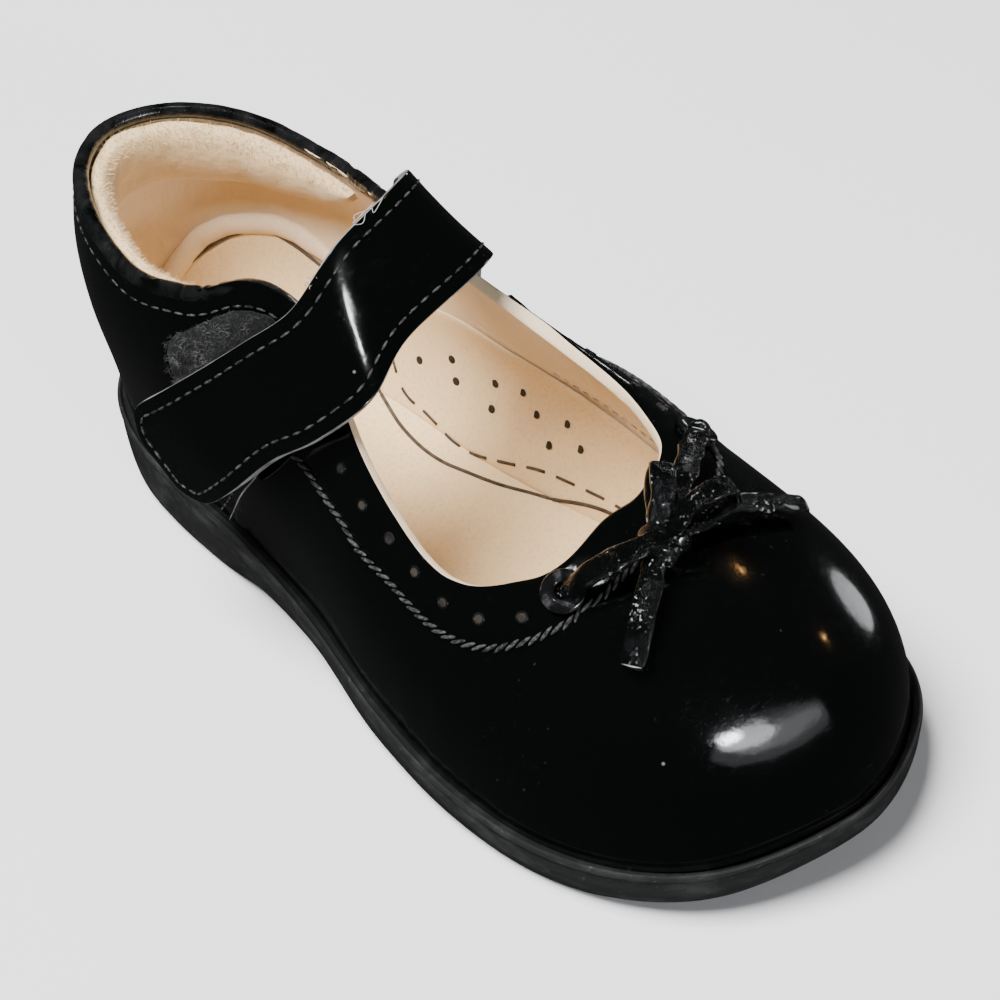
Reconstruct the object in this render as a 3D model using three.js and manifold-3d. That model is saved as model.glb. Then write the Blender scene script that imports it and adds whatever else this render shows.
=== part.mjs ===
// A small child's bar shoe (mary jane), right foot, in millimetres with +Z up.
// The toe points along -Y, the inner side of the foot is +X and the outer side is -X.
import * as THREE from 'three';
import { mergeVertices } from 'three/addons/utils/BufferGeometryUtils.js';
import Module from 'manifold-3d';

const wasm = await Module();
wasm.setup();

// ---- driving dimensions -------------------------------------------------------------------

const LENGTH = 165;          // sole, from the back of the heel to the tip of the toe
const GAP = 0.3;             // air between two pieces that lie against each other
const WALL = 2;              // patent leather and lining together
const STATIONS = 44;         // steps along the sole, from the heel to the toe
const RIB_STEPS = 11;        // steps up a wall, from the feather edge to the topline

// "at" is the share of the length, from 0 at the back of the heel to 1 at the toe.
// Widths run from the long axis of the sole to its edge, on each side.
const OUTLINE = [
  { at: 0.03, lateral: 10.5, medial: 11 },
  { at: 0.1, lateral: 17.5, medial: 18.5 },
  { at: 0.18, lateral: 20.5, medial: 21.5 },
  { at: 0.3, lateral: 22.5, medial: 22.5 },
  { at: 0.42, lateral: 26, medial: 23 },
  { at: 0.55, lateral: 32, medial: 27.5 },
  { at: 0.67, lateral: 35.5, medial: 33 },
  { at: 0.78, lateral: 35, medial: 35.5 },
  { at: 0.88, lateral: 29.5, medial: 33 },
  { at: 0.95, lateral: 19.5, medial: 24.5 },
];
const TOE_TIP = 4;           // the toe's tip lies this far to the inner side

// Heights of the sole above the floor: its tread and the bed that the upper stands on.
const SOLE = [
  { at: 0, tread: 1.2, bed: 13.6 },
  { at: 0.04, tread: 0, bed: 13.4 },
  { at: 0.27, tread: 0, bed: 12.2 },
  { at: 0.33, tread: 2.6, bed: 11.4 },
  { at: 0.43, tread: 2.8, bed: 9.8 },
  { at: 0.54, tread: 0, bed: 8.2 },
  { at: 0.66, tread: 0, bed: 7.2 },
  { at: 0.78, tread: 0, bed: 7.2 },
  { at: 0.87, tread: 1.2, bed: 8.2 },
  { at: 0.94, tread: 3.2, bed: 9.8 },
  { at: 1, tread: 6, bed: 12 },
];
const LEDGE = 1.8;           // the sole stands this far out past the upper's feather edge
const LIP = { width: 1.2, height: 1.2 };

// The last: how high its ridge runs, how far the ridge leans to the inner side, how square its
// outer and inner shoulders are, how far the wall swells past the feather edge, and how far up
// the rib the topline is cut on each side (0 at the feather edge, 90 at the ridge).
const LAST = [
  { at: 0, ridge: 112, lean: 0, square: 2.4, inner: 2.4, swell: 4.5, lateral: 30.5, medial: 30.5 },
  { at: 0.17, ridge: 112, lean: 0, square: 2.4, inner: 2.5, swell: 5, lateral: 29.5, medial: 29.5 },
  { at: 0.27, ridge: 92, lean: -0.5, square: 2.4, inner: 2.4, swell: 4.6, lateral: 35.5, medial: 35 },
  { at: 0.33, ridge: 79, lean: -0.5, square: 2.4, inner: 2.4, swell: 4.2, lateral: 44.5, medial: 42 },
  { at: 0.39, ridge: 68, lean: -0.5, square: 2.4, inner: 2.5, swell: 3.6, lateral: 54, medial: 47 },
  { at: 0.46, ridge: 58, lean: 0, square: 2.4, inner: 2.7, swell: 2.8, lateral: 61, medial: 49 },
  { at: 0.5, ridge: 54, lean: 0.5, square: 2.4, inner: 2.9, swell: 2.4, lateral: 57, medial: 51 },
  { at: 0.55, ridge: 50, lean: 1, square: 2.4, inner: 3, swell: 2, lateral: 50, medial: 54 },
  { at: 0.66, ridge: 46, lean: 2, square: 2.5, inner: 2.8, swell: 1, lateral: 47, medial: 61 },
  { at: 0.8, ridge: 45, lean: 2.5, square: 2.6, inner: 2.7, swell: 0.8, lateral: 60, medial: 70 },
  { at: 1, ridge: 45, lean: 3, square: 2.7, inner: 2.7, swell: 0.6, lateral: 79, medial: 79 },
];
const HEEL_FAN = 0.17;       // the ribs round the heel meet here on the ridge
const TOE_FAN = 0.6;         // and the ribs round the toe here

// ---- reading the tables -------------------------------------------------------------------

const clamp = (value, low, high) => Math.min(Math.max(value, low), high);
const radians = THREE.MathUtils.degToRad;

// A column of a table at any station: a cubic that never overshoots, so flat stretches stay flat.
function read(rows, at, key) {
  const last = rows.length - 1;
  let i = 0;
  while (i < last - 1 && at > rows[i + 1].at) i += 1;
  const rise = (n) => (rows[n + 1][key] - rows[n][key]) / (rows[n + 1].at - rows[n].at);
  const slope = (n) => {
    if (n === 0 || n === last) return 0;
    const [before, after] = [rise(n - 1), rise(n)];
    return before * after > 0 ? (2 * before * after) / (before + after) : 0;
  };
  const span = rows[i + 1].at - rows[i].at;
  const t = clamp((at - rows[i].at) / span, 0, 1);
  const [start, end] = [rows[i][key], rows[i + 1][key]];
  const cubic = 3 * t * t - 2 * t * t * t;
  const leave = slope(i) * span * (t * t * t - 2 * t * t + t);
  const arrive = slope(i + 1) * span * (t * t * t - t * t);
  return start + (end - start) * cubic + leave + arrive;
}

// The sole's outline as one closed curve: up the outer side, round the toe, down the inner side.
const point = (x, at) => new THREE.Vector3(x, -at * LENGTH, 0);
const outline = new THREE.CatmullRomCurve3([
  point(0, 0),
  ...OUTLINE.map((row) => point(-row.lateral, row.at)),
  point(TOE_TIP, 1),
  ...OUTLINE.toReversed().map((row) => point(row.medial, row.at)),
], true, 'centripetal');
outline.arcLengthDivisions = 1200;
const TOE_SHARE = (OUTLINE.length + 1) / (2 * OUTLINE.length + 2);

// The curve's own parameter where a side of the outline passes a station.
function parameterAt(at, side) {
  let [low, high] = side === 'lateral' ? [0, TOE_SHARE] : [1, TOE_SHARE];
  for (let n = 0; n < 40; n += 1) {
    const middle = (low + high) / 2;
    if (-outline.getPoint(middle).y < at * LENGTH) low = middle;
    else high = middle;
  }
  return (low + high) / 2;
}

// A point of the outline, moved inwards, with the station that it started from.
function edgePoint(at, side, inset = 0) {
  const t = parameterAt(at, side);
  const base = outline.getPoint(t);
  const tangent = outline.getTangent(t);
  return new THREE.Vector3(base.x - tangent.y * inset, base.y + tangent.x * inset, 0);
}

// Stations spaced evenly round the outline, so that the ends get as many as the sides.
const stationTable = (() => {
  const samples = 2000;
  const table = [];
  for (let n = 0; n <= samples; n += 1) {
    table.push(outline.getPoint((n / samples) * TOE_SHARE));
  }
  const travelled = [0];
  for (let n = 1; n <= samples; n += 1) {
    travelled.push(travelled[n - 1] + table[n].distanceTo(table[n - 1]));
  }
  return { along: table.map((p) => -p.y / LENGTH), travelled };
})();

function station(index) {
  const goal = (clamp(index, 0, STATIONS) / STATIONS) * stationTable.travelled.at(-1);
  const n = Math.max(stationTable.travelled.findIndex((value) => value >= goal), 1);
  const [before, after] = [stationTable.travelled[n - 1], stationTable.travelled[n]];
  const share = (goal - before) / (after - before);
  return THREE.MathUtils.lerp(stationTable.along[n - 1], stationTable.along[n], share);
}

// ---- the last's surface -------------------------------------------------------------------

const tread = (at) => read(SOLE, at, 'tread');
const bed = (at) => read(SOLE, at, 'bed');

// Where a rib that starts at a station of the feather edge meets the ridge.
function rootStation(at) {
  const s = clamp(at, 0, 1);
  return THREE.MathUtils.lerp(HEEL_FAN, TOE_FAN, s * s * (3 - 2 * s));
}

// A point on the last. The angle runs from 0 at the outer feather edge over the ridge at 90
// to 180 at the inner feather edge.
function lastPoint(at, degrees) {
  const side = degrees <= 90 ? 'lateral' : 'medial';
  const angle = radians(degrees <= 90 ? degrees : 180 - degrees);
  const foot = edgePoint(at, side, LEDGE);
  const root = rootStation(at);
  const centre = point(read(LAST, root, 'lean'), root);
  const spread = foot.clone().sub(centre);
  const reach = spread.length();
  const squareness = read(LAST, at, side === 'lateral' ? 'square' : 'inner');
  const share = Math.max(Math.cos(angle), 0) ** (2 / squareness);
  const swell = read(LAST, at, 'swell') * Math.sin(Math.min(angle * 4, Math.PI)) ** 2;
  const out = centre.addScaledVector(spread, share + swell / reach);
  const low = bed(at) + GAP;
  out.z = low + (read(LAST, root, 'ridge') - low) * Math.sin(angle);
  return out;
}

// The same surface moved outwards by a lift, or inwards where it is negative.
function skin(at, degrees, lift = 0) {
  const here = lastPoint(at, degrees);
  if (lift === 0) return here;
  const [da, dd] = [0.004, 0.5];
  const ahead = lastPoint(clamp(at + da, 0.0005, 0.9995), degrees);
  const behind = lastPoint(clamp(at - da, 0.0005, 0.9995), degrees);
  const up = lastPoint(at, clamp(degrees + dd, 0, 180));
  const down = lastPoint(at, clamp(degrees - dd, 0, 180));
  const normal = ahead.sub(behind).cross(up.sub(down)).normalize();
  return here.addScaledVector(normal, lift);
}

// ---- turning loops of points into closed solids -------------------------------------------

// A solid from a row of closed loops with the same number of points. Where the row isn't joined
// into a ring, each end is closed by a ladder between the loop's two halves. A hole removes the
// four squares round a point of the near half and their partners, and lines the cut between them.
function solidOfLoops(loops, { ring = false, holes = [] } = {}) {
  const count = loops[0].length;
  const vertices = loops.flat().flatMap((p) => [p.x, p.y, p.z]);
  const faces = [];
  const index = (row, n) => ((row + loops.length) % loops.length) * count + ((n + count) % count);
  const square = (a, b, c, d) => faces.push(a, b, c, a, c, d);
  const mirror = (n) => count - 1 - n;
  const isCut = (row, n) => holes.some((hole) => {
    const near = n < count / 2 - 1 ? n : mirror(n + 1);
    return (row === hole.row || row === hole.row - 1) && (near === hole.step || near === hole.step - 1);
  });
  for (let row = 0; row < loops.length - (ring ? 0 : 1); row += 1) {
    for (let n = 0; n < count; n += 1) {
      if (isCut(row, n)) continue;
      square(index(row, n), index(row, n + 1), index(row + 1, n + 1), index(row + 1, n));
    }
  }
  for (const { row, step } of holes) {
    const rim = [[-1, -1], [0, -1], [1, -1], [1, 0], [1, 1], [0, 1], [-1, 1], [-1, 0]];
    rim.forEach(([r, s], n) => {
      const [nextR, nextS] = rim[(n + 1) % rim.length];
      const [a, b] = [index(row + r, step + s), index(row + nextR, step + nextS)];
      square(a, index(row + r, mirror(step + s)), index(row + nextR, mirror(step + nextS)), b);
    });
  }
  if (!ring) {
    for (let n = 0; n < count / 2 - 1; n += 1) {
      square(index(0, n), index(0, mirror(n)), index(0, mirror(n + 1)), index(0, n + 1));
      const last = loops.length - 1;
      square(index(last, n), index(last, n + 1), index(last, mirror(n + 1)), index(last, mirror(n)));
    }
  }
  return closedGeometry(vertices, faces);
}

// Merges shared corners, drops faces that have collapsed, and turns the solid right side out.
function closedGeometry(vertices, faces) {
  const loose = new THREE.BufferGeometry();
  loose.setAttribute('position', new THREE.Float32BufferAttribute(vertices, 3));
  loose.setIndex(faces);
  const merged = mergeVertices(loose, 1e-4);
  const position = merged.getAttribute('position');
  const source = merged.getIndex().array;
  const kept = [];
  let volume = 0;
  const [a, b, c] = [new THREE.Vector3(), new THREE.Vector3(), new THREE.Vector3()];
  for (let n = 0; n < source.length; n += 3) {
    const [i, j, k] = source.slice(n, n + 3);
    if (i === j || j === k || k === i) continue;
    kept.push([i, j, k]);
    a.fromBufferAttribute(position, i);
    b.fromBufferAttribute(position, j);
    c.fromBufferAttribute(position, k);
    volume += a.dot(b.cross(c));
  }
  merged.setIndex(kept.flatMap(([i, j, k]) => (volume > 0 ? [i, j, k] : [i, k, j])));
  return merged;
}

// The two sides of a sheet, near and far, as one loop.
const sheetLoop = (near, far) => [...near, ...far.toReversed()];

function toManifold(geometry) {
  const bare = geometry.clone();
  bare.deleteAttribute('normal');
  bare.deleteAttribute('uv');
  const merged = bare.index ? bare : mergeVertices(bare);
  const whole = mergeVertices(merged, 1e-5);
  return new wasm.Manifold(new wasm.Mesh({
    numProp: 3,
    vertProperties: new Float32Array(whole.getAttribute('position').array),
    triVerts: new Uint32Array(whole.getIndex().array),
  }));
}

function fromManifold(solid) {
  const { vertProperties, triVerts, numProp } = solid.getMesh();
  const geometry = new THREE.BufferGeometry();
  const vertices = [];
  for (let n = 0; n < vertProperties.length; n += numProp) {
    vertices.push(vertProperties[n], vertProperties[n + 1], vertProperties[n + 2]);
  }
  geometry.setAttribute('position', new THREE.Float32BufferAttribute(vertices, 3));
  geometry.setIndex([...triVerts]);
  return geometry;
}

// ---- materials ----------------------------------------------------------------------------

const finish = (color, roughness) => new THREE.MeshStandardMaterial({ color, roughness, metalness: 0 });
const PATENT = finish(0x08090a, 0.1);
const RUBBER = finish(0x121314, 0.55);
const FOOTBED = finish(0xd8b894, 0.8);
const TAPE = finish(0x2a2b2c, 0.95);
const EYELET = new THREE.MeshStandardMaterial({ color: 0x101112, roughness: 0.3, metalness: 0.6 });

const shoe = new THREE.Group();

function add(name, geometry, material) {
  geometry.computeVertexNormals();
  const mesh = new THREE.Mesh(geometry, material);
  mesh.name = name;
  shoe.add(mesh);
  return mesh;
}

// ---- outsole ------------------------------------------------------------------------------

// The side of the sole from the tread's edge up to the bed: how far in from the outline, and
// how high, either over the tread or over the bed.
const SOLE_SIDE = [
  { inset: 2.6, over: 'tread', rise: 0 },
  { inset: 1.2, over: 'tread', rise: 0.8 },
  { inset: 0.6, over: 'tread', rise: 2 },
  { inset: 0.1, over: 'bed', rise: -2.4 },
  { inset: 0.5, over: 'bed', rise: -0.6 },
  { inset: 0, over: 'bed', rise: 0.1 },
  { inset: 0.2, over: 'bed', rise: LIP.height * 0.8 },
  { inset: LIP.width * 0.5, over: 'bed', rise: LIP.height },
  { inset: LIP.width, over: 'bed', rise: 0 },
];

function outsoleBody() {
  const loops = [];
  for (let i = 0; i <= STATIONS; i += 1) {
    const at = station(i);
    const half = (side) => SOLE_SIDE.map(({ inset, over, rise }) => {
      const corner = edgePoint(at, side, inset);
      const here = clamp(-corner.y / LENGTH, 0, 1);
      corner.z = (over === 'tread' ? tread(here) : bed(here)) + rise;
      if (i === 0 || i === STATIONS) corner.x = edgePoint(at, 'lateral', 0).x;
      return corner;
    });
    loops.push(sheetLoop(half('lateral'), half('medial')));
  }
  return solidOfLoops(loops);
}

const TREAD = {
  depth: 1.5, width: 2.4, rim: 6,
  forefoot: [0.57, 0.605, 0.64, 0.675, 0.71, 0.745],
  heel: [0.08, 0.12, 0.16, 0.2, 0.24],
};

// A groove across the tread with round ends, curved a little towards the toe.
function groove(at) {
  const ends = ['lateral', 'medial'].map((side) => edgePoint(at, side, TREAD.rim));
  const middle = ends[0].clone().add(ends[1]).multiplyScalar(0.5);
  middle.y -= 3;
  const path = new THREE.QuadraticBezierCurve3(ends[0], middle, ends[1]);
  const round = TREAD.width / 2;
  const steps = 8;
  const [front, back] = [[], []];
  for (let n = 0; n <= steps; n += 1) {
    const here = path.getPoint(n / steps);
    const tangent = path.getTangent(n / steps);
    front.push(new THREE.Vector2(here.x + tangent.y * round, here.y - tangent.x * round));
    back.push(new THREE.Vector2(here.x - tangent.y * round, here.y + tangent.x * round));
  }
  const cut = new THREE.ExtrudeGeometry(
    new THREE.Shape([...front, ...back.toReversed()]),
    { depth: TREAD.depth + 2, bevelEnabled: false },
  );
  return cut.translate(0, 0, -2);
}

function outsole() {
  const grooves = [...TREAD.forefoot, ...TREAD.heel].map((at) => toManifold(groove(at)));
  return fromManifold(grooves.reduce((body, cut) => body.subtract(cut), toManifold(outsoleBody())));
}

// ---- upper --------------------------------------------------------------------------------

// The steps up a rib crowd towards the topline, where the shape has its finest parts.
const stepShare = (step) => 1 - (1 - step / RIB_STEPS) ** 1.5;

// A point of the upper's wall: the rib's number round the feather edge, the step up the rib.
function wallPoint(ribNumber, step, lift) {
  const total = 2 * STATIONS;
  const number = (ribNumber + total) % total;
  const side = number <= STATIONS ? 'lateral' : 'medial';
  const at = clamp(station(side === 'lateral' ? number : total - number), 0.0005, 0.9995);
  const angle = read(LAST, at, side) * stepShare(step);
  return skin(at, side === 'lateral' ? angle : 180 - angle, lift);
}

// The eyelets sit on a crossing of the wall's grid, and the crossings round them move in or out
// to make the hole round.
const EYELET_HOLES = { lateral: { row: 34, step: 9 }, medial: { row: 57, step: 8 } };
const HOLE_RADIUS = 2.3;

function pulledToHole(row, step, lift) {
  const hole = Object.values(EYELET_HOLES).find((place) => {
    const near = Math.max(Math.abs(place.row - row), Math.abs(place.step - step)) === 1;
    return near;
  });
  if (!hole) return wallPoint(row, step, lift);
  const span = wallPoint(row, step, 0).distanceTo(wallPoint(hole.row, hole.step, 0));
  const share = HOLE_RADIUS / span;
  return wallPoint(
    THREE.MathUtils.lerp(hole.row, row, share),
    THREE.MathUtils.lerp(hole.step, step, share),
    lift,
  );
}

function upper() {
  const loops = [];
  for (let rib = 0; rib < 2 * STATIONS; rib += 1) {
    const near = [];
    const far = [];
    for (let step = 0; step <= RIB_STEPS; step += 1) {
      near.push(pulledToHole(rib, step, 0));
      far.push(pulledToHole(rib, step, -WALL));
    }
    loops.push(sheetLoop(near, far));
  }
  return solidOfLoops(loops, { ring: true, holes: Object.values(EYELET_HOLES) });
}

// ---- insole -------------------------------------------------------------------------------

const INSOLE = { thickness: 3, cup: 3.5, arch: 3, across: 8, clear: 0.5 };

function insole() {
  const loops = [];
  for (let i = 0; i <= STATIONS; i += 1) {
    const at = clamp(station(i), 0.001, 0.999);
    const [outer, inner] = ['lateral', 'medial'].map((side) => {
      return edgePoint(at, side, LEDGE + WALL + INSOLE.clear);
    });
    if (i === 0 || i === STATIONS) outer.copy(inner.lerp(outer, 0.5));
    const top = [];
    const bottom = [];
    for (let n = 0; n <= INSOLE.across; n += 1) {
      const share = n / INSOLE.across;
      const here = outer.clone().lerp(inner, share);
      const edge = Math.abs(2 * share - 1);
      const heelCup = INSOLE.cup * (1 - THREE.MathUtils.smoothstep(at, 0.25, 0.45)) * edge ** 4;
      const behind = INSOLE.cup * (1 - THREE.MathUtils.smoothstep(at, 0.01, 0.09));
      const archRise = INSOLE.arch * Math.exp(-(((at - 0.42) / 0.13) ** 2)) * share ** 3;
      const low = bed(clamp(-here.y / LENGTH, 0, 1)) + GAP;
      bottom.push(new THREE.Vector3(here.x, here.y, low));
      const rise = Math.max(heelCup, behind) + archRise;
      top.push(new THREE.Vector3(here.x, here.y, low + INSOLE.thickness + rise));
    }
    loops.push(sheetLoop(top, bottom));
  }
  return solidOfLoops(loops);
}

// ---- sheets that lie on the last ----------------------------------------------------------

// Smooth lines along a sheet, side by side from its rear to its front edge, at a height over the
// underside. A table gives both edges and the lift of the underside at a few places.
function sheetLines(rows, across, height) {
  const lines = [];
  for (let k = 0; k <= across; k += 1) {
    const mix = (row, rear, front) => THREE.MathUtils.lerp(row[rear], row[front], k / across);
    lines.push(new THREE.CatmullRomCurve3(rows.map((row) => (
      skin(mix(row, 'rear', 'front'), mix(row, 'rearDegrees', 'frontDegrees'), row.lift + height)
    ))));
  }
  return lines;
}

// How much narrower a sheet's rounded end is on each side, this far from its tip.
function cornerTrim(left, radius) {
  if (left >= radius) return 0;
  return radius - Math.sqrt(Math.max(radius ** 2 - (radius - left) ** 2, 0));
}

// A sheet that lies on the last. "from" and "to" trim it across, and both ends are rounded.
function sheetOnLast(rows, { width, length, thickness, steps, across = 4, from = 0, to = 1, corner }) {
  const sides = [thickness, 0].map((height) => sheetLines(rows, across, height));
  const loops = [];
  for (let n = 0; n <= steps; n += 1) {
    const t = n / steps;
    const trim = (cornerTrim(t * length, corner) + cornerTrim((1 - t) * length, corner)) / width;
    const [near, far] = sides.map((lines) => lines.map((line, k) => {
      const spot = THREE.MathUtils.lerp(from + trim, to - trim, k / across) * across;
      const below = Math.min(Math.floor(spot), across - 1);
      return lines[below].getPoint(t).lerp(lines[below + 1].getPoint(t), spot - below);
    }));
    loops.push(sheetLoop(near, far));
  }
  return solidOfLoops(loops);
}

// The strap, from its sewn end on the inner quarter to its free end on the outer side.
const STRAP = { width: 20, length: 100, thickness: 2.2, corner: 5, steps: 38, across: 6 };
const STRAP_ROWS = [
  { rear: 0.25, rearDegrees: 155, front: 0.355, frontDegrees: 158, lift: 0.6 },
  { rear: 0.305, rearDegrees: 144, front: 0.405, frontDegrees: 147, lift: 0.6 },
  { rear: 0.355, rearDegrees: 131, front: 0.45, frontDegrees: 134, lift: 0.8 },
  { rear: 0.41, rearDegrees: 115, front: 0.505, frontDegrees: 118, lift: 1.3 },
  { rear: 0.448, rearDegrees: 101, front: 0.552, frontDegrees: 103, lift: 1.8 },
  { rear: 0.46, rearDegrees: 78, front: 0.583, frontDegrees: 80, lift: 2.4 },
  { rear: 0.44, rearDegrees: 60, front: 0.565, frontDegrees: 65, lift: 2.5 },
  { rear: 0.382, rearDegrees: 44, front: 0.505, frontDegrees: 47, lift: 3 },
  { rear: 0.325, rearDegrees: 32.5, front: 0.435, frontDegrees: 33, lift: 3.3 },
  { rear: 0.27, rearDegrees: 24, front: 0.375, frontDegrees: 21.5, lift: 4.2 },
  { rear: 0.217, rearDegrees: 17, front: 0.31, frontDegrees: 10.5, lift: 5.6 },
];

const strap = () => sheetOnLast(STRAP_ROWS, STRAP);

// The fuzzy half of the touch fastener, on the outer quarter.
const LOOP_PAD = { width: 17, length: 32, thickness: 1, corner: 3, steps: 10 };
const LOOP_PAD_ROWS = [
  { rear: 0.235, rearDegrees: 25.5, front: 0.33, frontDegrees: 18, lift: 0.6 },
  { rear: 0.29, rearDegrees: 33.5, front: 0.385, frontDegrees: 28, lift: 0.6 },
  { rear: 0.355, rearDegrees: 44, front: 0.445, frontDegrees: 40, lift: 0.5 },
  { rear: 0.425, rearDegrees: 54, front: 0.505, frontDegrees: 48, lift: 0.4 },
];

const loopPad = () => sheetOnLast(LOOP_PAD_ROWS, LOOP_PAD);

// Its hooked half, under the last rows of the strap.
const HOOK_PAD = {
  width: STRAP.width, length: 24, thickness: 0.9, corner: 2, steps: 10, from: 0.18, to: 0.82,
};
const HOOK_PAD_ROWS = [
  ...STRAP_ROWS.slice(-4, -1),
  { rear: 0.226, rearDegrees: 18, front: 0.321, frontDegrees: 12.3, lift: 5.35 },
].map((row) => ({ ...row, lift: row.lift - GAP - HOOK_PAD.thickness }));

const hookPad = () => sheetOnLast(HOOK_PAD_ROWS, HOOK_PAD);

// ---- collar padding -----------------------------------------------------------------------

// A soft roll inside the collar, thickest behind the heel and running out towards the strap.
const PADDING = { reach: 0.27, top: 0.97, bottom: 0.68, thickness: 3, clear: 0.6, steps: 26, around: 6 };

function collarPadding() {
  const loops = [];
  for (let n = 0; n <= PADDING.steps; n += 1) {
    const turn = THREE.MathUtils.lerp(-1, 1, n / PADDING.steps);
    const at = Math.max(PADDING.reach * turn * turn, 0.0005);
    const side = turn < 0 ? 'lateral' : 'medial';
    const cut = read(LAST, at, side);
    const full = Math.sqrt(Math.max(1 - turn ** 4, 0.02));
    const near = [];
    const far = [];
    for (let k = 0; k <= PADDING.around; k += 1) {
      const share = k / PADDING.around;
      const bottom = THREE.MathUtils.lerp(PADDING.top, PADDING.bottom, full);
      const angle = cut * THREE.MathUtils.lerp(bottom, PADDING.top, share);
      const bulge = Math.sqrt(Math.max(1 - (2 * share - 1) ** 2, 0.05)) * PADDING.thickness * full;
      const place = side === 'lateral' ? angle : 180 - angle;
      near.push(skin(at, place, -WALL - PADDING.clear));
      far.push(skin(at, place, -WALL - PADDING.clear - bulge));
    }
    loops.push(sheetLoop(near, far));
  }
  return solidOfLoops(loops);
}

// ---- eyelets ------------------------------------------------------------------------------

const RIVET = { bore: 1.1, barrel: 1.6, flange: 3.6, back: 2.6, lip: 0.8, stand: 0.7, backStand: 1.3 };

function eyelet({ row, step }) {
  const { bore, barrel, flange, back, lip, stand, backStand } = RIVET;
  const inside = -WALL - backStand;
  const ring = [
    [bore, inside - lip], [back, inside - lip], [back, inside], [barrel, inside],
    [barrel, stand], [flange, stand], [flange, stand + lip * 0.5], [flange - 0.6, stand + lip],
    [bore + 0.5, stand + lip], [bore, stand + lip * 0.4], [bore, inside - lip],
  ].map(([radius, height]) => new THREE.Vector2(radius, height));
  const geometry = new THREE.LatheGeometry(ring, 20);
  const centre = wallPoint(row, step, 0);
  const normal = wallPoint(row, step, 1).sub(centre);
  const turn = new THREE.Quaternion().setFromUnitVectors(new THREE.Vector3(0, 1, 0), normal);
  geometry.applyQuaternion(turn).translate(centre.x, centre.y, centre.z);
  return closedGeometry([...geometry.getAttribute('position').array], [...geometry.getIndex().array]);
}

// ---- bow ----------------------------------------------------------------------------------

const THONG = { width: 4.4, thickness: 1.1 };
const KNOT = { at: 0.985, degrees: 69, lift: 3.6, size: [3.3, 2.9, 2.3] };
const knotCentre = skin(KNOT.at, KNOT.degrees, KNOT.lift);
const knotUp = skin(KNOT.at, KNOT.degrees, KNOT.lift + 1).sub(knotCentre);

// A flat thong along a path. Its width follows a direction given at the start and at the end.
function thong(points, startAcross, endAcross = startAcross) {
  const path = new THREE.CatmullRomCurve3(points, false, 'centripetal');
  const steps = Math.max(Math.round(path.getLength() / 1.8), 4);
  const loops = [];
  for (let n = 0; n <= steps; n += 1) {
    const here = path.getPointAt(n / steps);
    const tangent = path.getTangentAt(n / steps);
    const side = startAcross.clone().lerp(endAcross, n / steps);
    side.addScaledVector(tangent, -side.dot(tangent)).normalize();
    const up = tangent.clone().cross(side).multiplyScalar(THONG.thickness / 2);
    const edge = (share) => side.clone().multiplyScalar(THONG.width * share);
    const shares = [-0.5, 0, 0.5];
    const near = shares.map((share) => here.clone().add(edge(share)).add(up));
    const far = shares.map((share) => here.clone().add(edge(share)).sub(up));
    loops.push(sheetLoop(near, far));
  }
  return solidOfLoops(loops);
}

function knot() {
  const ball = new THREE.SphereGeometry(1, 14, 10).scale(...KNOT.size);
  const turn = new THREE.Quaternion().setFromUnitVectors(new THREE.Vector3(0, 0, 1), knotUp);
  ball.applyQuaternion(turn).translate(knotCentre.x, knotCentre.y, knotCentre.z);
  return closedGeometry([...ball.getAttribute('position').array], [...ball.getIndex().array]);
}

// From the top of an eyelet to the knot, arching a little over the vamp.
function bowRun({ row, step }) {
  const start = wallPoint(row, step, 2.9);
  const normal = wallPoint(row, step, 3.9).sub(start);
  const away = start.clone().sub(knotCentre).normalize();
  const end = knotCentre.clone().addScaledVector(away, KNOT.size[0] + 0.6).addScaledVector(knotUp, 1);
  const middle = start.clone().lerp(end, 0.5).addScaledVector(knotUp, 1.3);
  return thong(
    [start, middle, end],
    new THREE.Vector3().crossVectors(normal, away),
    new THREE.Vector3().crossVectors(knotUp, away),
  );
}

// A loop leaves the knot low, turns over at its far end and comes back above itself.
const BOW_LOOP = { reach: 10.5, rise: 4.6, start: 5.4 };

function bowLoop(direction) {
  const out = direction.clone().normalize();
  const across = new THREE.Vector3().crossVectors(knotUp, out).normalize();
  const up = new THREE.Vector3().crossVectors(out, across).normalize();
  const base = knotCentre.clone().addScaledVector(knotUp, 2.4);
  const spot = (away, high) => base.clone().addScaledVector(out, away).addScaledVector(up, high);
  const { reach, rise, start } = BOW_LOOP;
  return thong([
    spot(start, -0.6), spot(reach * 0.7, -1), spot(reach, 0.6), spot(reach * 0.95, rise * 0.75),
    spot(reach * 0.65, rise), spot(start, 1.7),
  ], across);
}

function bowTail(places) {
  const points = places.map(([at, degrees, lift]) => skin(at, degrees, lift));
  const away = points[0].clone().sub(knotCentre).normalize();
  const [at, degrees, lift] = places.at(-1);
  const endUp = skin(at, degrees, lift + 1).sub(points.at(-1));
  const start = knotCentre.clone().addScaledVector(away, KNOT.size[0] + 0.4);
  points.unshift(start.addScaledVector(knotUp, -1.2));
  return thong(
    points,
    new THREE.Vector3().crossVectors(knotUp, away),
    new THREE.Vector3().crossVectors(endUp, away),
  );
}

// ---- the shoe -----------------------------------------------------------------------------

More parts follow.
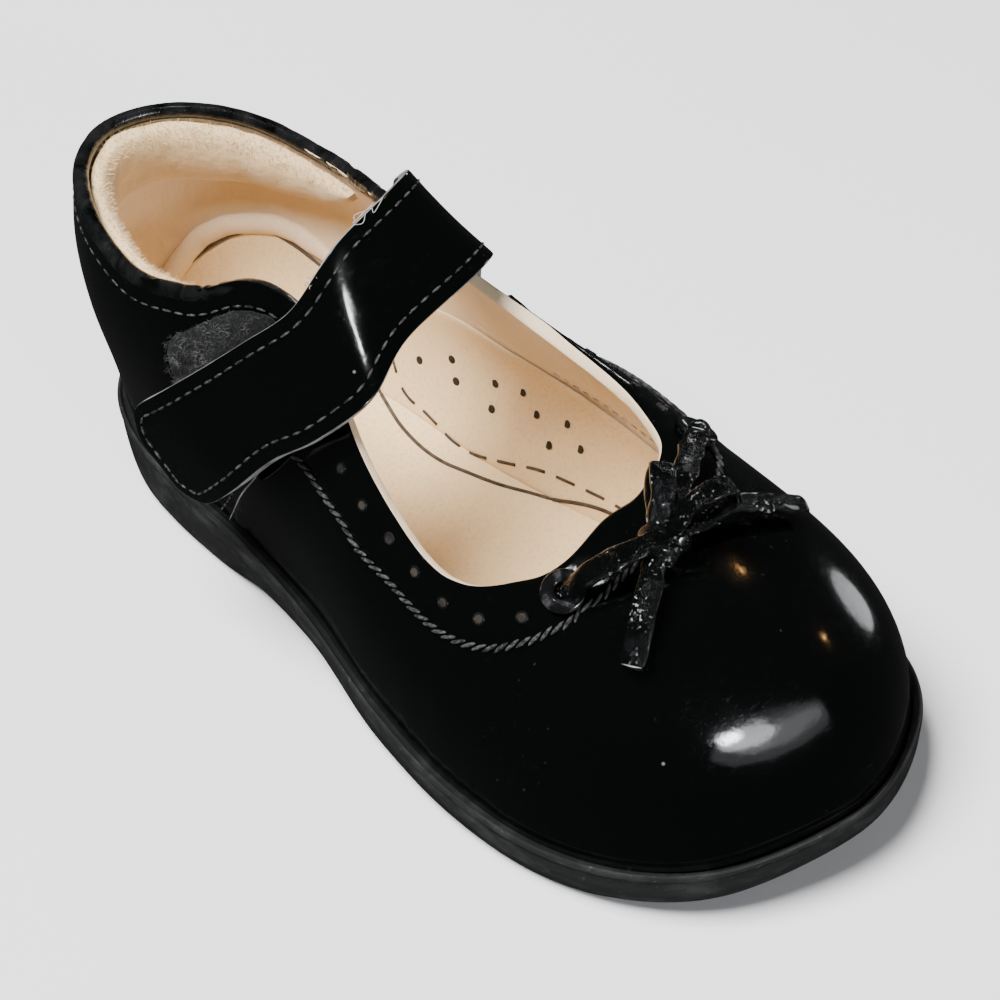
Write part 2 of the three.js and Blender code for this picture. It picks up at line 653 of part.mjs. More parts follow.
add('outsole', outsole(), RUBBER);
add('upper', upper(), PATENT);
add('insole', insole(), FOOTBED);
add('collar_padding', collarPadding(), FOOTBED);
add('strap', strap(), PATENT);
add('loop_pad', loopPad(), TAPE);
add('hook_pad', hookPad(), TAPE);
for (const side of ['lateral', 'medial']) {
  add(`eyelet_${side}`, eyelet(EYELET_HOLES[side]), EYELET);
  add(`bow_run_${side}`, bowRun(EYELET_HOLES[side]), PATENT);
}
add('bow_knot', knot(), PATENT);
add('bow_loop_rear', bowLoop(new THREE.Vector3(0.4, 0.8, 0.35)), PATENT);
add('bow_loop_front', bowLoop(new THREE.Vector3(0.9, -0.35, 0.3)), PATENT);
add('bow_tail_lateral', bowTail([[0.93, 58, 1.6], [0.908, 48, 1.1]]), PATENT);
add('bow_tail_medial', bowTail([[0.985, 112, 2], [0.96, 115.5, 1.8], [0.93, 121.5, 1.5], [0.895, 129, 1.4]]), PATENT);

// The origin is under the middle of the shoe's box, on the floor.
const box = new THREE.Box3().setFromObject(shoe);
const middle = box.getCenter(new THREE.Vector3());
shoe.position.set(-middle.x, -middle.y, -box.min.z);
shoe.updateMatrixWorld(true);

export default shoe;
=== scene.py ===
"""Child's mary jane shoe: leather, lining, seams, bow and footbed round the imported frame."""

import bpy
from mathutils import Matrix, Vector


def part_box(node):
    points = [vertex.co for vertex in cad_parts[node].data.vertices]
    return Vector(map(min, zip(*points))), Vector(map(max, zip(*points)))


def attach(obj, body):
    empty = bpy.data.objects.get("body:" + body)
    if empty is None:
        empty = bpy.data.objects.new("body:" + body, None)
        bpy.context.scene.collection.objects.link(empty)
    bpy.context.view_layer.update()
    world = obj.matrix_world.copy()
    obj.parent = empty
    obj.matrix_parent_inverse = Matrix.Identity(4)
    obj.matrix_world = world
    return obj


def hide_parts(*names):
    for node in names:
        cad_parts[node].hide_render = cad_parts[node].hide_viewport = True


bl_info = {
    "name": "Mary Jane Shoe",
    "version": (1, 0, 0),
    "blender": (4, 5, 0),
    "location": "View3D > Sidebar > Shoe",
    "description": "Makes the leather, lining, seams and bow of a small bar shoe",
    "category": "Add Mesh",
}

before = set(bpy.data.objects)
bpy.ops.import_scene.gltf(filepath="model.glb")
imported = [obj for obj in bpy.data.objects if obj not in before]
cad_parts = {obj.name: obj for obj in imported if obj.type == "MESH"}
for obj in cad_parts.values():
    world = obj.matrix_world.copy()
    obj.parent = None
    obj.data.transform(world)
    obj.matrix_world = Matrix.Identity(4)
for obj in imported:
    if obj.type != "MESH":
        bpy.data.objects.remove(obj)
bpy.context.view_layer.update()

import math
import random

import bmesh
import bpy
import numpy as np
from bpy.props import FloatProperty, FloatVectorProperty, IntProperty, PointerProperty
from mathutils import Matrix, Vector, noise
from mathutils.bvhtree import BVHTree

MM = 0.001
# The upper's wall has this many ribs round its topline, evenly shared between its two sides.
RIBS = 88
# Faces that meet at more than these angles belong to different sides of a piece.
FOLD = math.radians(50)
TURN = math.radians(55)


# ---- sizes and colours that a user may change -----------------------------------------------


def sized(name, description, default, low, high):
    """A length in millimetres, shown in the scene's own unit."""
    return FloatProperty(
        name=name, description=description, default=default * MM, min=low * MM, max=high * MM,
        unit="LENGTH", subtype="DISTANCE", precision=4,
    )


def tinted(name, description, default):
    """A colour without transparency."""
    return FloatVectorProperty(
        name=name, description=description, default=default, subtype="COLOR", size=3, min=0, max=1,
    )


class ShoeSizes(bpy.types.PropertyGroup):
    stitch_length: sized("Stitch length", "Pitch of the sewn rows", 2.6, 1, 6)
    thread: sized("Thread", "Thickness of the sewing thread", 0.42, 0.2, 2)
    cord_thread: sized("Throat cord", "Thickness of the twisted cord round the throat", 0.64, 0.4, 3)
    bead: sized("Collar bead", "Radius of the rolled edge round the collar", 1.45, 0.4, 3)
    punch: sized("Punched hole", "Radius of the small holes round the throat", 0.85, 0.4, 3)
    thong_width: sized("Bow thong", "Width of the bow's flat thong", 4.0, 2, 8)
    fibres: IntProperty(
        name="Tape fibres", description="How many loops of fibre stand on the fuzzy tape",
        default=3000, min=0, max=6000,
    )


class ShoeColours(bpy.types.PropertyGroup):
    leather: tinted("Patent leather", "Colour of the shiny leather", (0.0009, 0.0013, 0.0012))
    rubber: tinted("Sole rubber", "Colour of the sole", (0.016, 0.0165, 0.0165))
    lining: tinted("Lining", "Colour of the cream lining leather", (0.86, 0.68, 0.46))
    footbed: tinted("Footbed", "Colour of the insole's top and of the padded roll", (0.84, 0.615, 0.345))
    tape: tinted("Fastener tape", "Colour of the touch fastener", (0.006, 0.0062, 0.0065))


def sizes():
    return bpy.context.scene.shoe_sizes


def colours():
    return bpy.context.scene.shoe_colours


# ---- material helpers -----------------------------------------------------------------------


class Shader:
    """A material under construction: adds nodes and joins their sockets by name."""

    def __init__(self, name):
        self.material = bpy.data.materials.new(name)
        self.material.use_nodes = True
        self.tree = self.material.node_tree
        self.surface = self.tree.nodes["Principled BSDF"]

    def node(self, kind, **values):
        """A new node with its own settings."""
        made = self.tree.nodes.new("ShaderNode" + kind)
        for key, value in values.items():
            setattr(made, key, value)
        return made

    def feed(self, socket, value):
        """Joins a socket to another, or sets it to a number or a colour."""
        if isinstance(value, bpy.types.NodeSocket):
            self.join(value, socket)
        elif hasattr(value, "__len__"):
            socket.default_value = (*value, 1)
        elif value is not None:
            socket.default_value = value

    def join(self, source, target):
        self.tree.links.new(source, target)

    def place(self, scale=(1, 1, 1)):
        """Places on the object, stretched by a scale."""
        spot = self.node("TexCoord")
        mapping = self.node("Mapping")
        mapping.inputs["Scale"].default_value = scale
        self.join(spot.outputs["Object"], mapping.inputs["Vector"])
        return mapping.outputs["Vector"]

    def noise(self, scale, detail=4, roughness=0.55, where=None, distortion=0.0):
        """Cloudy values between 0 and 1."""
        made = self.node("TexNoise")
        settings = {"Scale": scale, "Detail": detail, "Roughness": roughness, "Distortion": distortion}
        for key, value in settings.items():
            made.inputs[key].default_value = value
        self.join(where or self.place(), made.inputs["Vector"])
        return made.outputs["Fac"]

    def cells(self, scale):
        """The distance to the nearest of many scattered points."""
        made = self.node("TexVoronoi", feature="F1")
        made.inputs["Scale"].default_value = scale
        self.join(self.place(), made.inputs["Vector"])
        return made.outputs["Distance"]

    def ramp(self, source, stops):
        """Greys or colours picked from a value by (position, colour) stops."""
        made = self.node("ValToRGB")
        elements = made.color_ramp.elements
        while len(elements) < len(stops):
            elements.new(0.5)
        for element, (position, colour) in zip(elements, stops):
            element.position = position
            element.color = (*colour, 1) if hasattr(colour, "__len__") else (colour, colour, colour, 1)
        self.join(source, made.inputs["Fac"])
        return made.outputs["Color"]

    def span(self, source, low, high, to_low, to_high):
        """A value moved from one range to another."""
        made = self.node("MapRange")
        for key, value in (("From Min", low), ("From Max", high), ("To Min", to_low), ("To Max", to_high)):
            made.inputs[key].default_value = value
        self.join(source, made.inputs["Value"])
        return made.outputs["Result"]

    def mix(self, share, first, second):
        """A share of the second colour over the first."""
        made = self.node("Mix", data_type="RGBA", blend_type="MIX")
        for number, value in ((0, share), (6, first), (7, second)):
            self.feed(made.inputs[number], value)
        return made.outputs[2]

    def math(self, operation, first, second):
        """Two values put together by a named operation."""
        made = self.node("Math", operation=operation)
        self.feed(made.inputs[0], first)
        self.feed(made.inputs[1], second)
        return made.outputs[0]

    def bump(self, height, strength, distance, under=None):
        """A normal bent by a height, over another normal."""
        made = self.node("Bump")
        made.inputs["Strength"].default_value = strength
        made.inputs["Distance"].default_value = distance
        self.join(height, made.inputs["Height"])
        if under is not None:
            self.join(under, made.inputs["Normal"])
        return made.outputs["Normal"]

    def finish(self, colour, roughness, normal=None, **constants):
        """Sets the surface and gives the finished material."""
        settings = {"Base Color": colour, "Roughness": roughness, "Normal": normal, **constants}
        for key, value in settings.items():
            self.feed(self.surface.inputs[key.replace("_", " ")], value)
        return self.material


def shade(colour, factor):
    """A lighter or darker colour, kept within range."""
    return tuple(min(channel * factor, 1) for channel in colour)


made_materials = {}


def material(name):
    """A finish by name, made the first time that a piece asks for it."""
    if name not in made_materials:
        made_materials[name] = MATERIALS[name]()
    return made_materials[name]


def patent_leather():
    """Black leather under a clear, slightly wavy film, with fine dust, hairline scratches and lint."""
    s = Shader("patent_leather")
    base = colours().leather
    dust = s.ramp(s.noise(900, 3, 0.6), [(0.68, 0.0), (0.76, 1.0)])
    patches = s.ramp(s.noise(42, 3, 0.6), [(0.46, 0.0), (0.62, 1.0)])
    dusty = s.math("MULTIPLY", dust, patches)
    specks = s.ramp(s.cells(160), [(0.035, 1.0), (0.06, 0.0)])
    few = s.ramp(s.noise(75, 2), [(0.58, 0.0), (0.6, 1.0)])
    lint = s.math("MULTIPLY", specks, few)
    toned = s.mix(dusty, base, (0.02, 0.021, 0.022))
    colour = s.mix(lint, toned, (0.16, 0.15, 0.14))
    haze = s.span(s.noise(26, 5, 0.65), 0.3, 0.7, 0.06, 0.2)
    scratched = s.place((1, 7, 7))
    scratches = s.ramp(s.noise(260, 2, 0.4, scratched, 1.2), [(0.62, 0.0), (0.66, 1.0)])
    worn = s.math("MAXIMUM", s.math("MULTIPLY", scratches, 0.1), s.math("MULTIPLY", dusty, 0.3))
    rough = s.math("ADD", haze, worn)
    waves = s.bump(s.noise(34, 3, 0.5), 0.16, 0.004)
    grain = s.bump(s.noise(420, 4, 0.6), 0.05, 0.0006, waves)
    return s.finish(
        colour, rough, grain, IOR=1.5, Specular_IOR_Level=0.5,
        Coat_Weight=0.55, Coat_Roughness=0.08, Coat_IOR=1.5,
    )


def creased_leather():
    """The same leather where it is turned over an edge: gathered in small folds across the turn."""
    s = Shader("turned_leather")
    base = colours().leather
    folds = s.noise(210, 5, 0.6, s.place((1, 1, 0.5)), 0.6)
    colour = s.mix(s.ramp(folds, [(0.35, 0.0), (0.75, 1.0)]), shade(base, 0.8), (0.014, 0.0145, 0.015))
    rough = s.span(folds, 0.3, 0.7, 0.14, 0.32)
    normal = s.bump(folds, 0.5, 0.0012)
    return s.finish(colour, rough, normal, IOR=1.5, Coat_Weight=0.35, Coat_Roughness=0.12)


def crumpled_leather():
    """The thin leather of the bow: creased hard, with pale specks on the folds that paint small glints."""
    s = Shader("crumpled_leather")
    base = colours().leather
    crush = s.noise(330, 6, 0.7, distortion=0.8)
    # Pale grey specks on the folds: painted glints.
    glint_specks = s.ramp(s.noise(1500, 3, 0.6), [(0.6, 0.0), (0.66, 1.0)])
    patches = s.ramp(s.noise(170, 3, 0.6), [(0.5, 0.0), (0.6, 1.0)])
    painted_glints = s.math("MULTIPLY", glint_specks, patches)
    colour = s.mix(painted_glints, base, (0.3, 0.3, 0.3))
    rough = s.math("ADD", s.span(crush, 0.3, 0.7, 0.08, 0.2), s.math("MULTIPLY", painted_glints, 0.3))
    normal = s.bump(crush, 0.5, 0.0018)
    return s.finish(colour, rough, normal, IOR=1.5, Coat_Weight=0.8, Coat_Roughness=0.04)


def cut_edge():
    """The raw, painted edge of a leather piece: mottled pale grey, partly its edge paint and partly a
    painted reflection along the edge.
    """
    s = Shader("cut_edge")
    # The pale grey is partly a painted reflection of the light along the edge.
    mottled_tone = s.ramp(s.noise(190, 5, 0.65), [(0.3, (0.05, 0.05, 0.052)), (0.72, (0.33, 0.33, 0.335))])
    return s.finish(mottled_tone, 0.45, s.bump(s.noise(700, 3), 0.4, 0.0004))


def lining_leather():
    """Cream lining: soft pigskin grain, and faint pores whose hollows are painted slightly darker as shade.
    """
    s = Shader("lining_leather")
    base = colours().lining
    tone = s.mix(s.ramp(s.noise(38, 4), [(0.3, 0.0), (0.7, 1.0)]), shade(base, 0.9), shade(base, 1.06))
    # The pores' hollows are painted a little darker: painted shade.
    pitted = s.ramp(s.cells(900), [(0.08, 0.0), (0.24, 1.0)])
    colour = s.mix(pitted, shade(base, 0.93), tone)
    wrinkled = s.noise(120, 6, 0.6, s.place((1, 1, 0.35)), 0.5)
    normal = s.bump(pitted, 0.08, 0.0003, s.bump(wrinkled, 0.6, 0.0016))
    return s.finish(colour, 0.62, normal, IOR=1.45, Sheen_Weight=0.12, Sheen_Roughness=0.5)


def suede():
    """Brushed cream leather on the padded collar: matt, with a short nap lying in changing directions."""
    s = Shader("padded_suede")
    base = colours().footbed
    nap = s.noise(300, 7, 0.75)
    brushed = s.noise(60, 4, 0.6, s.place((1, 1, 2)), 0.8)
    tone = s.mix(s.ramp(brushed, [(0.32, 0.0), (0.68, 1.0)]), shade(base, 0.86), shade(base, 1.1))
    colour = s.mix(s.ramp(nap, [(0.3, 0.0), (0.6, 1.0)]), shade(base, 0.8), tone)
    normal = s.bump(nap, 0.5, 0.0005, s.bump(brushed, 0.3, 0.001))
    return s.finish(colour, 0.92, normal, Sheen_Weight=0.45, Sheen_Roughness=0.4)


def suede_nap():
    """The loose hairs on the padded roll."""
    s = Shader("suede_nap")
    base = colours().footbed
    tone = s.mix(s.ramp(s.noise(300, 3), [(0.3, 0.0), (0.7, 1.0)]), shade(base, 0.8), shade(base, 1.15))
    return s.finish(tone, 0.9, Sheen_Weight=0.3, Sheen_Roughness=0.4)


def footbed_leather():
    """Tan footbed with a fine speckle of pores and cloudy patches a little lighter and darker."""
    s = Shader("footbed_leather")
    base = colours().footbed
    speck = s.ramp(s.noise(1500, 2, 0.6), [(0.36, 0.0), (0.5, 1.0)])
    cloud = s.ramp(s.noise(30, 5, 0.6), [(0.34, 0.0), (0.68, 1.0)])
    tone = s.mix(cloud, shade(base, 0.94), shade(base, 1.05))
    colour = s.mix(speck, shade(base, 0.9), tone)
    normal = s.bump(s.noise(900, 4, 0.6), 0.25, 0.0003, s.bump(s.noise(70, 4), 0.12, 0.0012))
    return s.finish(colour, 0.78, normal, IOR=1.4)


def sole_rubber():
    """Satin black rubber with moulding grain, scuffs near the floor and pale dust."""
    s = Shader("sole_rubber")
    base = colours().rubber
    grain = s.noise(620, 4, 0.6)
    scuff = s.ramp(s.noise(95, 6, 0.7, s.place((1, 1, 2.4))), [(0.5, 0.0), (0.74, 1.0)])
    dust = s.ramp(s.noise(1300, 2, 0.6), [(0.66, 0.0), (0.74, 1.0)])
    colour = s.mix(s.math("MULTIPLY", dust, 0.5), s.mix(scuff, base, shade(base, 2.6)), (0.12, 0.115, 0.11))
    rough = s.span(s.noise(50, 5, 0.6), 0.3, 0.7, 0.3, 0.5)
    return s.finish(colour, rough, s.bump(grain, 0.16, 0.0005), IOR=1.5)


def painted_lip_highlight():
    """The line along the sole's lip: mottled pale grey, a painted highlight."""
    s = Shader("painted_lip_highlight")
    # Pale grey along the lip: painted highlight.
    mottled_tone = s.ramp(s.noise(120, 6, 0.7), [(0.4, (0.02, 0.02, 0.02)), (0.72, (0.2, 0.195, 0.19))])
    return s.finish(mottled_tone, 0.4, s.bump(s.noise(500, 3), 0.3, 0.0003))


def fuzzy_tape():
    """The knitted ground of the fastener tape, dark with grey fibres."""
    s = Shader("fuzzy_tape")
    base = colours().tape
    knit = s.noise(900, 6, 0.8)
    colour = s.mix(s.ramp(knit, [(0.35, 0.0), (0.7, 1.0)]), shade(base, 0.6), shade(base, 2.5))
    return s.finish(colour, 0.95, s.bump(knit, 0.9, 0.0008), Sheen_Weight=0.06, Sheen_Roughness=0.4)


def tape_fibre():
    """The loops of fibre on the tape, some of them pale with dust."""
    s = Shader("tape_fibre")
    tone = s.ramp(s.noise(240, 3, 0.7), [(0.42, (0.01, 0.01, 0.011)), (0.7, (0.26, 0.26, 0.26))])
    return s.finish(tone, 0.75, Sheen_Weight=0.05, Sheen_Roughness=0.5)


def sewing_thread():
    """Black waxed thread, painted lighter grey on the crowns of its twist as a highlight."""
    s = Shader("sewing_thread")
    twist = s.noise(1500, 3, 0.7)
    # Lighter grey on the crowns of the twist: painted highlight.
    colour = s.ramp(twist, [(0.42, (0.01, 0.01, 0.011)), (0.7, (0.11, 0.108, 0.105))])
    return s.finish(colour, 0.45, s.bump(twist, 0.6, 0.0002))


def pale_thread():
    """Cream thread on the lining."""
    s = Shader("pale_thread")
    twist = s.noise(1300, 3, 0.7)
    colour = s.ramp(twist, [(0.3, (0.32, 0.25, 0.18)), (0.7, (0.66, 0.56, 0.43))])
    return s.finish(colour, 0.6, s.bump(twist, 0.5, 0.0002))


def print_and_gap_shadow():
    """Worn brown-black print on the footbed; the same dark also paints the shadow under the heel rim."""
    s = Shader("print_and_gap_shadow")
    tone = s.ramp(s.noise(700, 3, 0.6), [(0.3, (0.035, 0.028, 0.022)), (0.75, (0.11, 0.085, 0.065))])
    return s.finish(tone, 0.75, s.bump(s.noise(900, 2), 0.2, 0.0002))


def punched_dark():
    """The shaded bottom of a hole."""
    s = Shader("punched_dark")
    tone = s.ramp(s.noise(500, 3), [(0.3, (0.012, 0.01, 0.009)), (0.7, (0.045, 0.036, 0.028))])
    return s.finish(tone, 0.85, s.bump(s.noise(900, 2), 0.3, 0.0002))


def eyelet_enamel():
    """Black enamelled eyelet with rubbed rims."""
    s = Shader("eyelet_enamel")
    mottled_tone = s.ramp(s.noise(420, 4, 0.6), [(0.5, (0.006, 0.006, 0.0065)), (0.78, (0.09, 0.09, 0.095))])
    rough = s.span(s.noise(300, 3), 0.3, 0.7, 0.1, 0.28)
    return s.finish(
        mottled_tone, rough, s.bump(s.noise(500, 3), 0.1, 0.0003),
        Metallic=0.35, IOR=1.5, Coat_Weight=0.6, Coat_Roughness=0.06,
    )


def frayed_end():
    """The cut end of the thong and loose threads: off-white core fibres."""
    s = Shader("frayed_end")
    tone = s.ramp(s.noise(900, 3), [(0.3, (0.35, 0.34, 0.32)), (0.7, (0.75, 0.73, 0.7))])
    return s.finish(tone, 0.8, s.bump(s.noise(1200, 2), 0.5, 0.0002))


def floor_paper():
    """Plain pale paper."""
    s = Shader("floor_paper")
    tone = s.ramp(s.noise(3, 3), [(0.3, (0.92, 0.92, 0.92)), (0.7, (0.94, 0.94, 0.94))])
    return s.finish(tone, 0.85)


MATERIALS = {
    "patent": patent_leather, "turned": creased_leather, "crumpled": crumpled_leather, "cut_edge": cut_edge,
    "lining": lining_leather, "suede": suede, "nap": suede_nap, "footbed": footbed_leather,
    "rubber": sole_rubber, "painted_lip_highlight": painted_lip_highlight, "tape": fuzzy_tape, "fibre": tape_fibre,
    "thread": sewing_thread, "pale_thread": pale_thread, "dark_print_and_shade": print_and_gap_shadow, "punched": punched_dark,
    "enamel": eyelet_enamel, "frayed": frayed_end, "paper": floor_paper,
}


# ---- mesh helpers ---------------------------------------------------------------------------


def node_copy(node):
    """A CAD node's mesh with its corners merged and its triangles paired into squares."""
    bm = bmesh.new()
    bm.from_mesh(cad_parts[node].data)
    bmesh.ops.remove_doubles(bm, verts=bm.verts, dist=1e-6)
    bmesh.ops.join_triangles(
        bm, faces=bm.faces, angle_face_threshold=math.radians(80),
        angle_shape_threshold=math.radians(179), topology_influence=2.0,
    )
    for face in bm.faces:
        face.smooth = True
    return bm


def show(name, data):
    """A new object in the scene, standing at the origin."""
    made = bpy.data.objects.new(name, data)
    bpy.context.scene.collection.objects.link(made)
    return made


def mesh_object(name, bm, finishes=()):
    """An object that holds a bmesh and its finishes."""
    mesh = bpy.data.meshes.new(name)
    bm.to_mesh(mesh)
    for finish in finishes:
        mesh.materials.append(material(finish))
    return show(name, mesh)


def subdivide(piece, levels):
    """Rounds a piece with the same levels in the viewport and the render."""
    soften = piece.modifiers.new("Subdivision", "SUBSURF")
    soften.levels = levels
    soften.render_levels = levels


def add_piece(name, bm, finishes, replaced=(), levels=0):
    """Turns a bmesh into a finished piece that rides on the shoe."""
    piece = mesh_object(name, bm, finishes)
    bm.free()
    if levels:
        subdivide(piece, levels)
    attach(piece, "root")
    if replaced:
        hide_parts(*replaced)
    return piece


def smoothed(bm, levels):
    """The bmesh as it is after subdivision, as a new bmesh that takes its place."""
    work = mesh_object("work", bm)
    bm.free()
    subdivide(work, levels)
    graph = bpy.context.evaluated_depsgraph_get()
    graph.update()
    fine = bmesh.new()
    fine.from_mesh(work.evaluated_get(graph).to_mesh())
    coarse = work.data
    bpy.data.objects.remove(work)
    bpy.data.meshes.remove(coarse)
    for face in fine.faces:
        face.smooth = True
    return fine


def cone(bottom, top, depth, segments=16, matrix=None):
    """A closed cone or disc along Z, as a new bmesh."""
    bm = bmesh.new()
    bmesh.ops.create_cone(
        bm, cap_ends=True, cap_tris=segments > 3, segments=segments, radius1=bottom, radius2=top,
        depth=depth, matrix=matrix or Matrix(),
    )
    return bm


def standing(here, way, tall):
    """The place of a hair that stands at a point and leans a given way."""
    turn = way.to_track_quat("Z", "Y").to_matrix().to_4x4()
    return Matrix.Translation(here) @ turn @ Matrix.Diagonal((1, 1, tall, 1))


def spread_from(seed, limit):
    """The faces that can be reached from one face without crossing a sharp edge."""
    found = {seed}
    queue = [seed]
    while queue:
        face = queue.pop()
        for edge in face.edges:
            if len(edge.link_faces) != 2 or edge.calc_face_angle(math.pi) > limit:
                continue
            for other in edge.link_faces:
                if other not in found:
                    found.add(other)
                    queue.append(other)
    return found


def border_loops(faces):
    """The closed rows of vertices round a patch of faces, each from its lowest corner in X, Y, Z."""
    edges = {e for f in faces for e in f.edges if sum(g in faces for g in e.link_faces) == 1}
    loops = []
    while edges:
        edge = min(edges, key=lambda e: sorted(tuple(v.co) for v in e.verts))
        edges.remove(edge)
        start, here = edge.verts
        loop = [start, here]
        while here is not start:
            onward = next((e for e in here.link_edges if e in edges), None)
            if onward is None:
                break
            edges.remove(onward)
            here = onward.other_vert(here)
            loop.append(here)
        loops.append(loop[:-1] if loop[-1] is loop[0] else loop)
    return loops


def nearest(tree, point, lift=0.0):
    """The closest place of a surface to a point, raised by a lift along its normal."""
    spot, normal, _, _ = tree.find_nearest(point)
    return spot + normal * lift, normal


def curve(a, b, c, d, t):
    """A place between b and c on a smooth curve through four points."""
    return 0.5 * (
        2 * b + (c - a) * t + (2 * a - 5 * b + 4 * c - d) * t * t + (3 * b - a - 3 * c + d) * t * t * t
    )


def smooth_line(points, pitch, closed=False):
    """Points at an even pitch along a smooth curve through the given ones."""
    knots = [Vector(p) for p in points]
    if closed:
        knots = [knots[-1], *knots, knots[0], knots[1]]
    else:
        knots = [2 * knots[0] - knots[1], *knots, 2 * knots[-1] - knots[-2]]
    steps = 16
    fine = [
        curve(*four, step / steps)
        for four in zip(knots, knots[1:], knots[2:], knots[3:]) for step in range(steps)
    ]
    fine.append(knots[-2])
    travelled = np.concatenate([[0], np.cumsum([(q - p).length for p, q in zip(fine, fine[1:])])])
    count = max(int(round(travelled[-1] / pitch)), 2)
    places = np.linspace(0, travelled[-1], count + 1)
    table = np.array([list(p) for p in fine])
    columns = [np.interp(places, travelled, table[:, k]) for k in range(table.shape[1])]
    return [Vector(row) for row in zip(*columns)]


def frame_at(here, ahead, up):
    """A turn and place whose X runs ahead and whose Z is as near to up as it can be."""
    x = (ahead - here).normalized()
    y = up.cross(x).normalized()
    z = x.cross(y).normalized()
    turn = Matrix((x, y, z)).transposed().to_4x4()
    turn.translation = here
    return turn


def scatter(bm, template, places):
    """Adds a copy of a small shape at each place."""
    mesh = bpy.data.meshes.new("template")
    template.to_mesh(mesh)
    template.free()
    start = len(bm.verts)
    for _ in places:
        bm.from_mesh(mesh)
    bm.verts.ensure_lookup_table()
    count = len(mesh.vertices)
    for n, place in enumerate(places):
        for vertex in bm.verts[start + n * count:start + (n + 1) * count]:
            vertex.co = place @ vertex.co
    bpy.data.meshes.remove(mesh)


def sweep(points, ups, section, bm=None, finish_index=0):
    """Carries an outline along a path and closes its ends. Ups are the outline's own Z direction at
    each point, and the section gives (across, up) pairs, or a function of the share of the path."""
    bm = bm or bmesh.new()
    outline = section if callable(section) else (lambda share: section)
    last = len(points) - 1
    ring = []
    for n, (here, up) in enumerate(zip(points, ups)):
        ahead = points[min(n + 1, last)]
        behind = points[max(n - 1, 0)]
        turn = frame_at(here, here + (ahead - behind), up)
        corners = [turn @ Vector((0, a, b)) for a, b in outline(n / last)]
        if not ring:
            ring = [bm.verts.new(corner) for corner in corners]
            edges = [bm.edges.new((a, b)) for a, b in zip(ring, ring[1:] + ring[:1])]
            bm.faces.new(ring).material_index = finish_index
            continue
        made = bmesh.ops.extrude_edge_only(bm, edges=edges)["geom"]
        fresh = [g for g in made if isinstance(g, bmesh.types.BMVert)]
        edges = [
            g for g in made if isinstance(g, bmesh.types.BMEdge) and all(v in fresh for v in g.verts)
        ]
        for face in (g for g in made if isinstance(g, bmesh.types.BMFace)):
            face.material_index = finish_index
            face.smooth = True
        partner = {}
        for vertex in fresh:
            others = (edge.other_vert(vertex) for edge in vertex.link_edges)
            partner[next(other for other in others if other in ring)] = vertex
        ring = [partner[v] for v in ring]
        for vertex, corner in zip(ring, corners):
            vertex.co = corner
    bm.faces.new(list(reversed(ring))).material_index = finish_index
    return bm


def oval(across, up, count=8):
    """An oval outline, for cords and beads."""
    turns = (2 * math.pi * n / count for n in range(count))
    return [(across * math.cos(a), up * math.sin(a)) for a in turns]


def bead_shape(length, thickness, sides=8, rings=5):
    """A single stitch: a short round thread, along X."""
    bm = bmesh.new()
    shape = Matrix.Diagonal((length / 2, thickness / 2, thickness / 2, 1))
    turn = shape @ Matrix.Rotation(math.pi / 2, 4, "Y")
    bmesh.ops.create_uvsphere(bm, u_segments=sides, v_segments=rings, radius=1, matrix=turn)
    for face in bm.faces:
        face.smooth = True
    return bm


# ---- the wall of the upper ------------------------------------------------------------------

# The ribs of the upper's outer face, and the surfaces that other pieces are laid on.
wall = {}


def upper_copy():
    """The upper's mesh, with the inner side of the waist a little fuller below the topline."""
    bm = node_copy("upper")
    for vertex in bm.verts:
        spot = vertex.co / MM
        if spot.x > 8:
            swell, middle = (4.8, 37) if vertex.normal.x > 0.2 else (3.2, 31)
            along = math.exp(-(((spot.y + 4) / 21) ** 2))
            height = math.exp(-(((spot.z - middle) / 10) ** 2))
            vertex.co.x += swell * along * height * MM
    return bm


def outer_face(bm):
    """The faces of the upper's outside, reached from the back of the heel."""
    return spread_from(min(bm.faces, key=lambda f: f.calc_center_median().y), TURN)


def read_wall():
    """Finds the ribs of the upper's outer face, so that a place on it is (rib, depth): ribs count
    from the heel round the outer side to the toe and back, and depth runs down from the topline."""
    bm = upper_copy()
    outer = outer_face(bm)
    loops = [loop for loop in border_loops(outer) if len(loop) == RIBS]
    loops.sort(key=lambda loop: sum(v.co.z for v in loop))
    feather, topline = set(loops[0]), loops[-1]
    start = min(range(RIBS), key=lambda n: abs(topline[n].co.x) - topline[n].co.y)
    topline = topline[start:] + topline[:start]
    if topline[1].co.x > topline[-1].co.x:
        topline = [topline[0], *reversed(topline[1:])]
    ribs = []
    for vertex in topline:
        path = [vertex]
        edge = next(e for e in vertex.link_edges if all(f in outer for f in e.link_faces))
        while edge is not None:
            vertex = edge.other_vert(vertex)
            path.append(vertex)
            taken = set(edge.link_faces)
            onward = [e for e in vertex.link_edges if not taken & set(e.link_faces)]
            onward = [e for e in onward if any(f in outer for f in e.link_faces)]
            onward.sort(key=lambda e: -sum(f in outer for f in e.link_faces))
            edge = None if vertex in feather or not onward else onward[0]
        ribs.append([v.co.copy() for v in path] if vertex in feather else None)
    for n, rib in enumerate(ribs):
        if rib is None:
            before, after = ribs[n - 1], ribs[(n + 1) % RIBS]
            ribs[n] = [(p + q) / 2 for p, q in zip(before, after)]
    wall["ribs"] = np.array([[list(p) for p in rib] for rib in ribs])
    fine = smoothed(bm, 2)
    wall["tree"] = BVHTree.FromBMesh(fine)
    fine.free()


def rib_place(rib, measure):
    """A point on one rib between four ribs, blended smoothly; measure finds it on a single rib."""
    base = math.floor(rib)
    four = (Vector(measure(wall["ribs"][(base + k) % RIBS])) for k in (-1, 0, 1, 2))
    return curve(*four, rib - base)


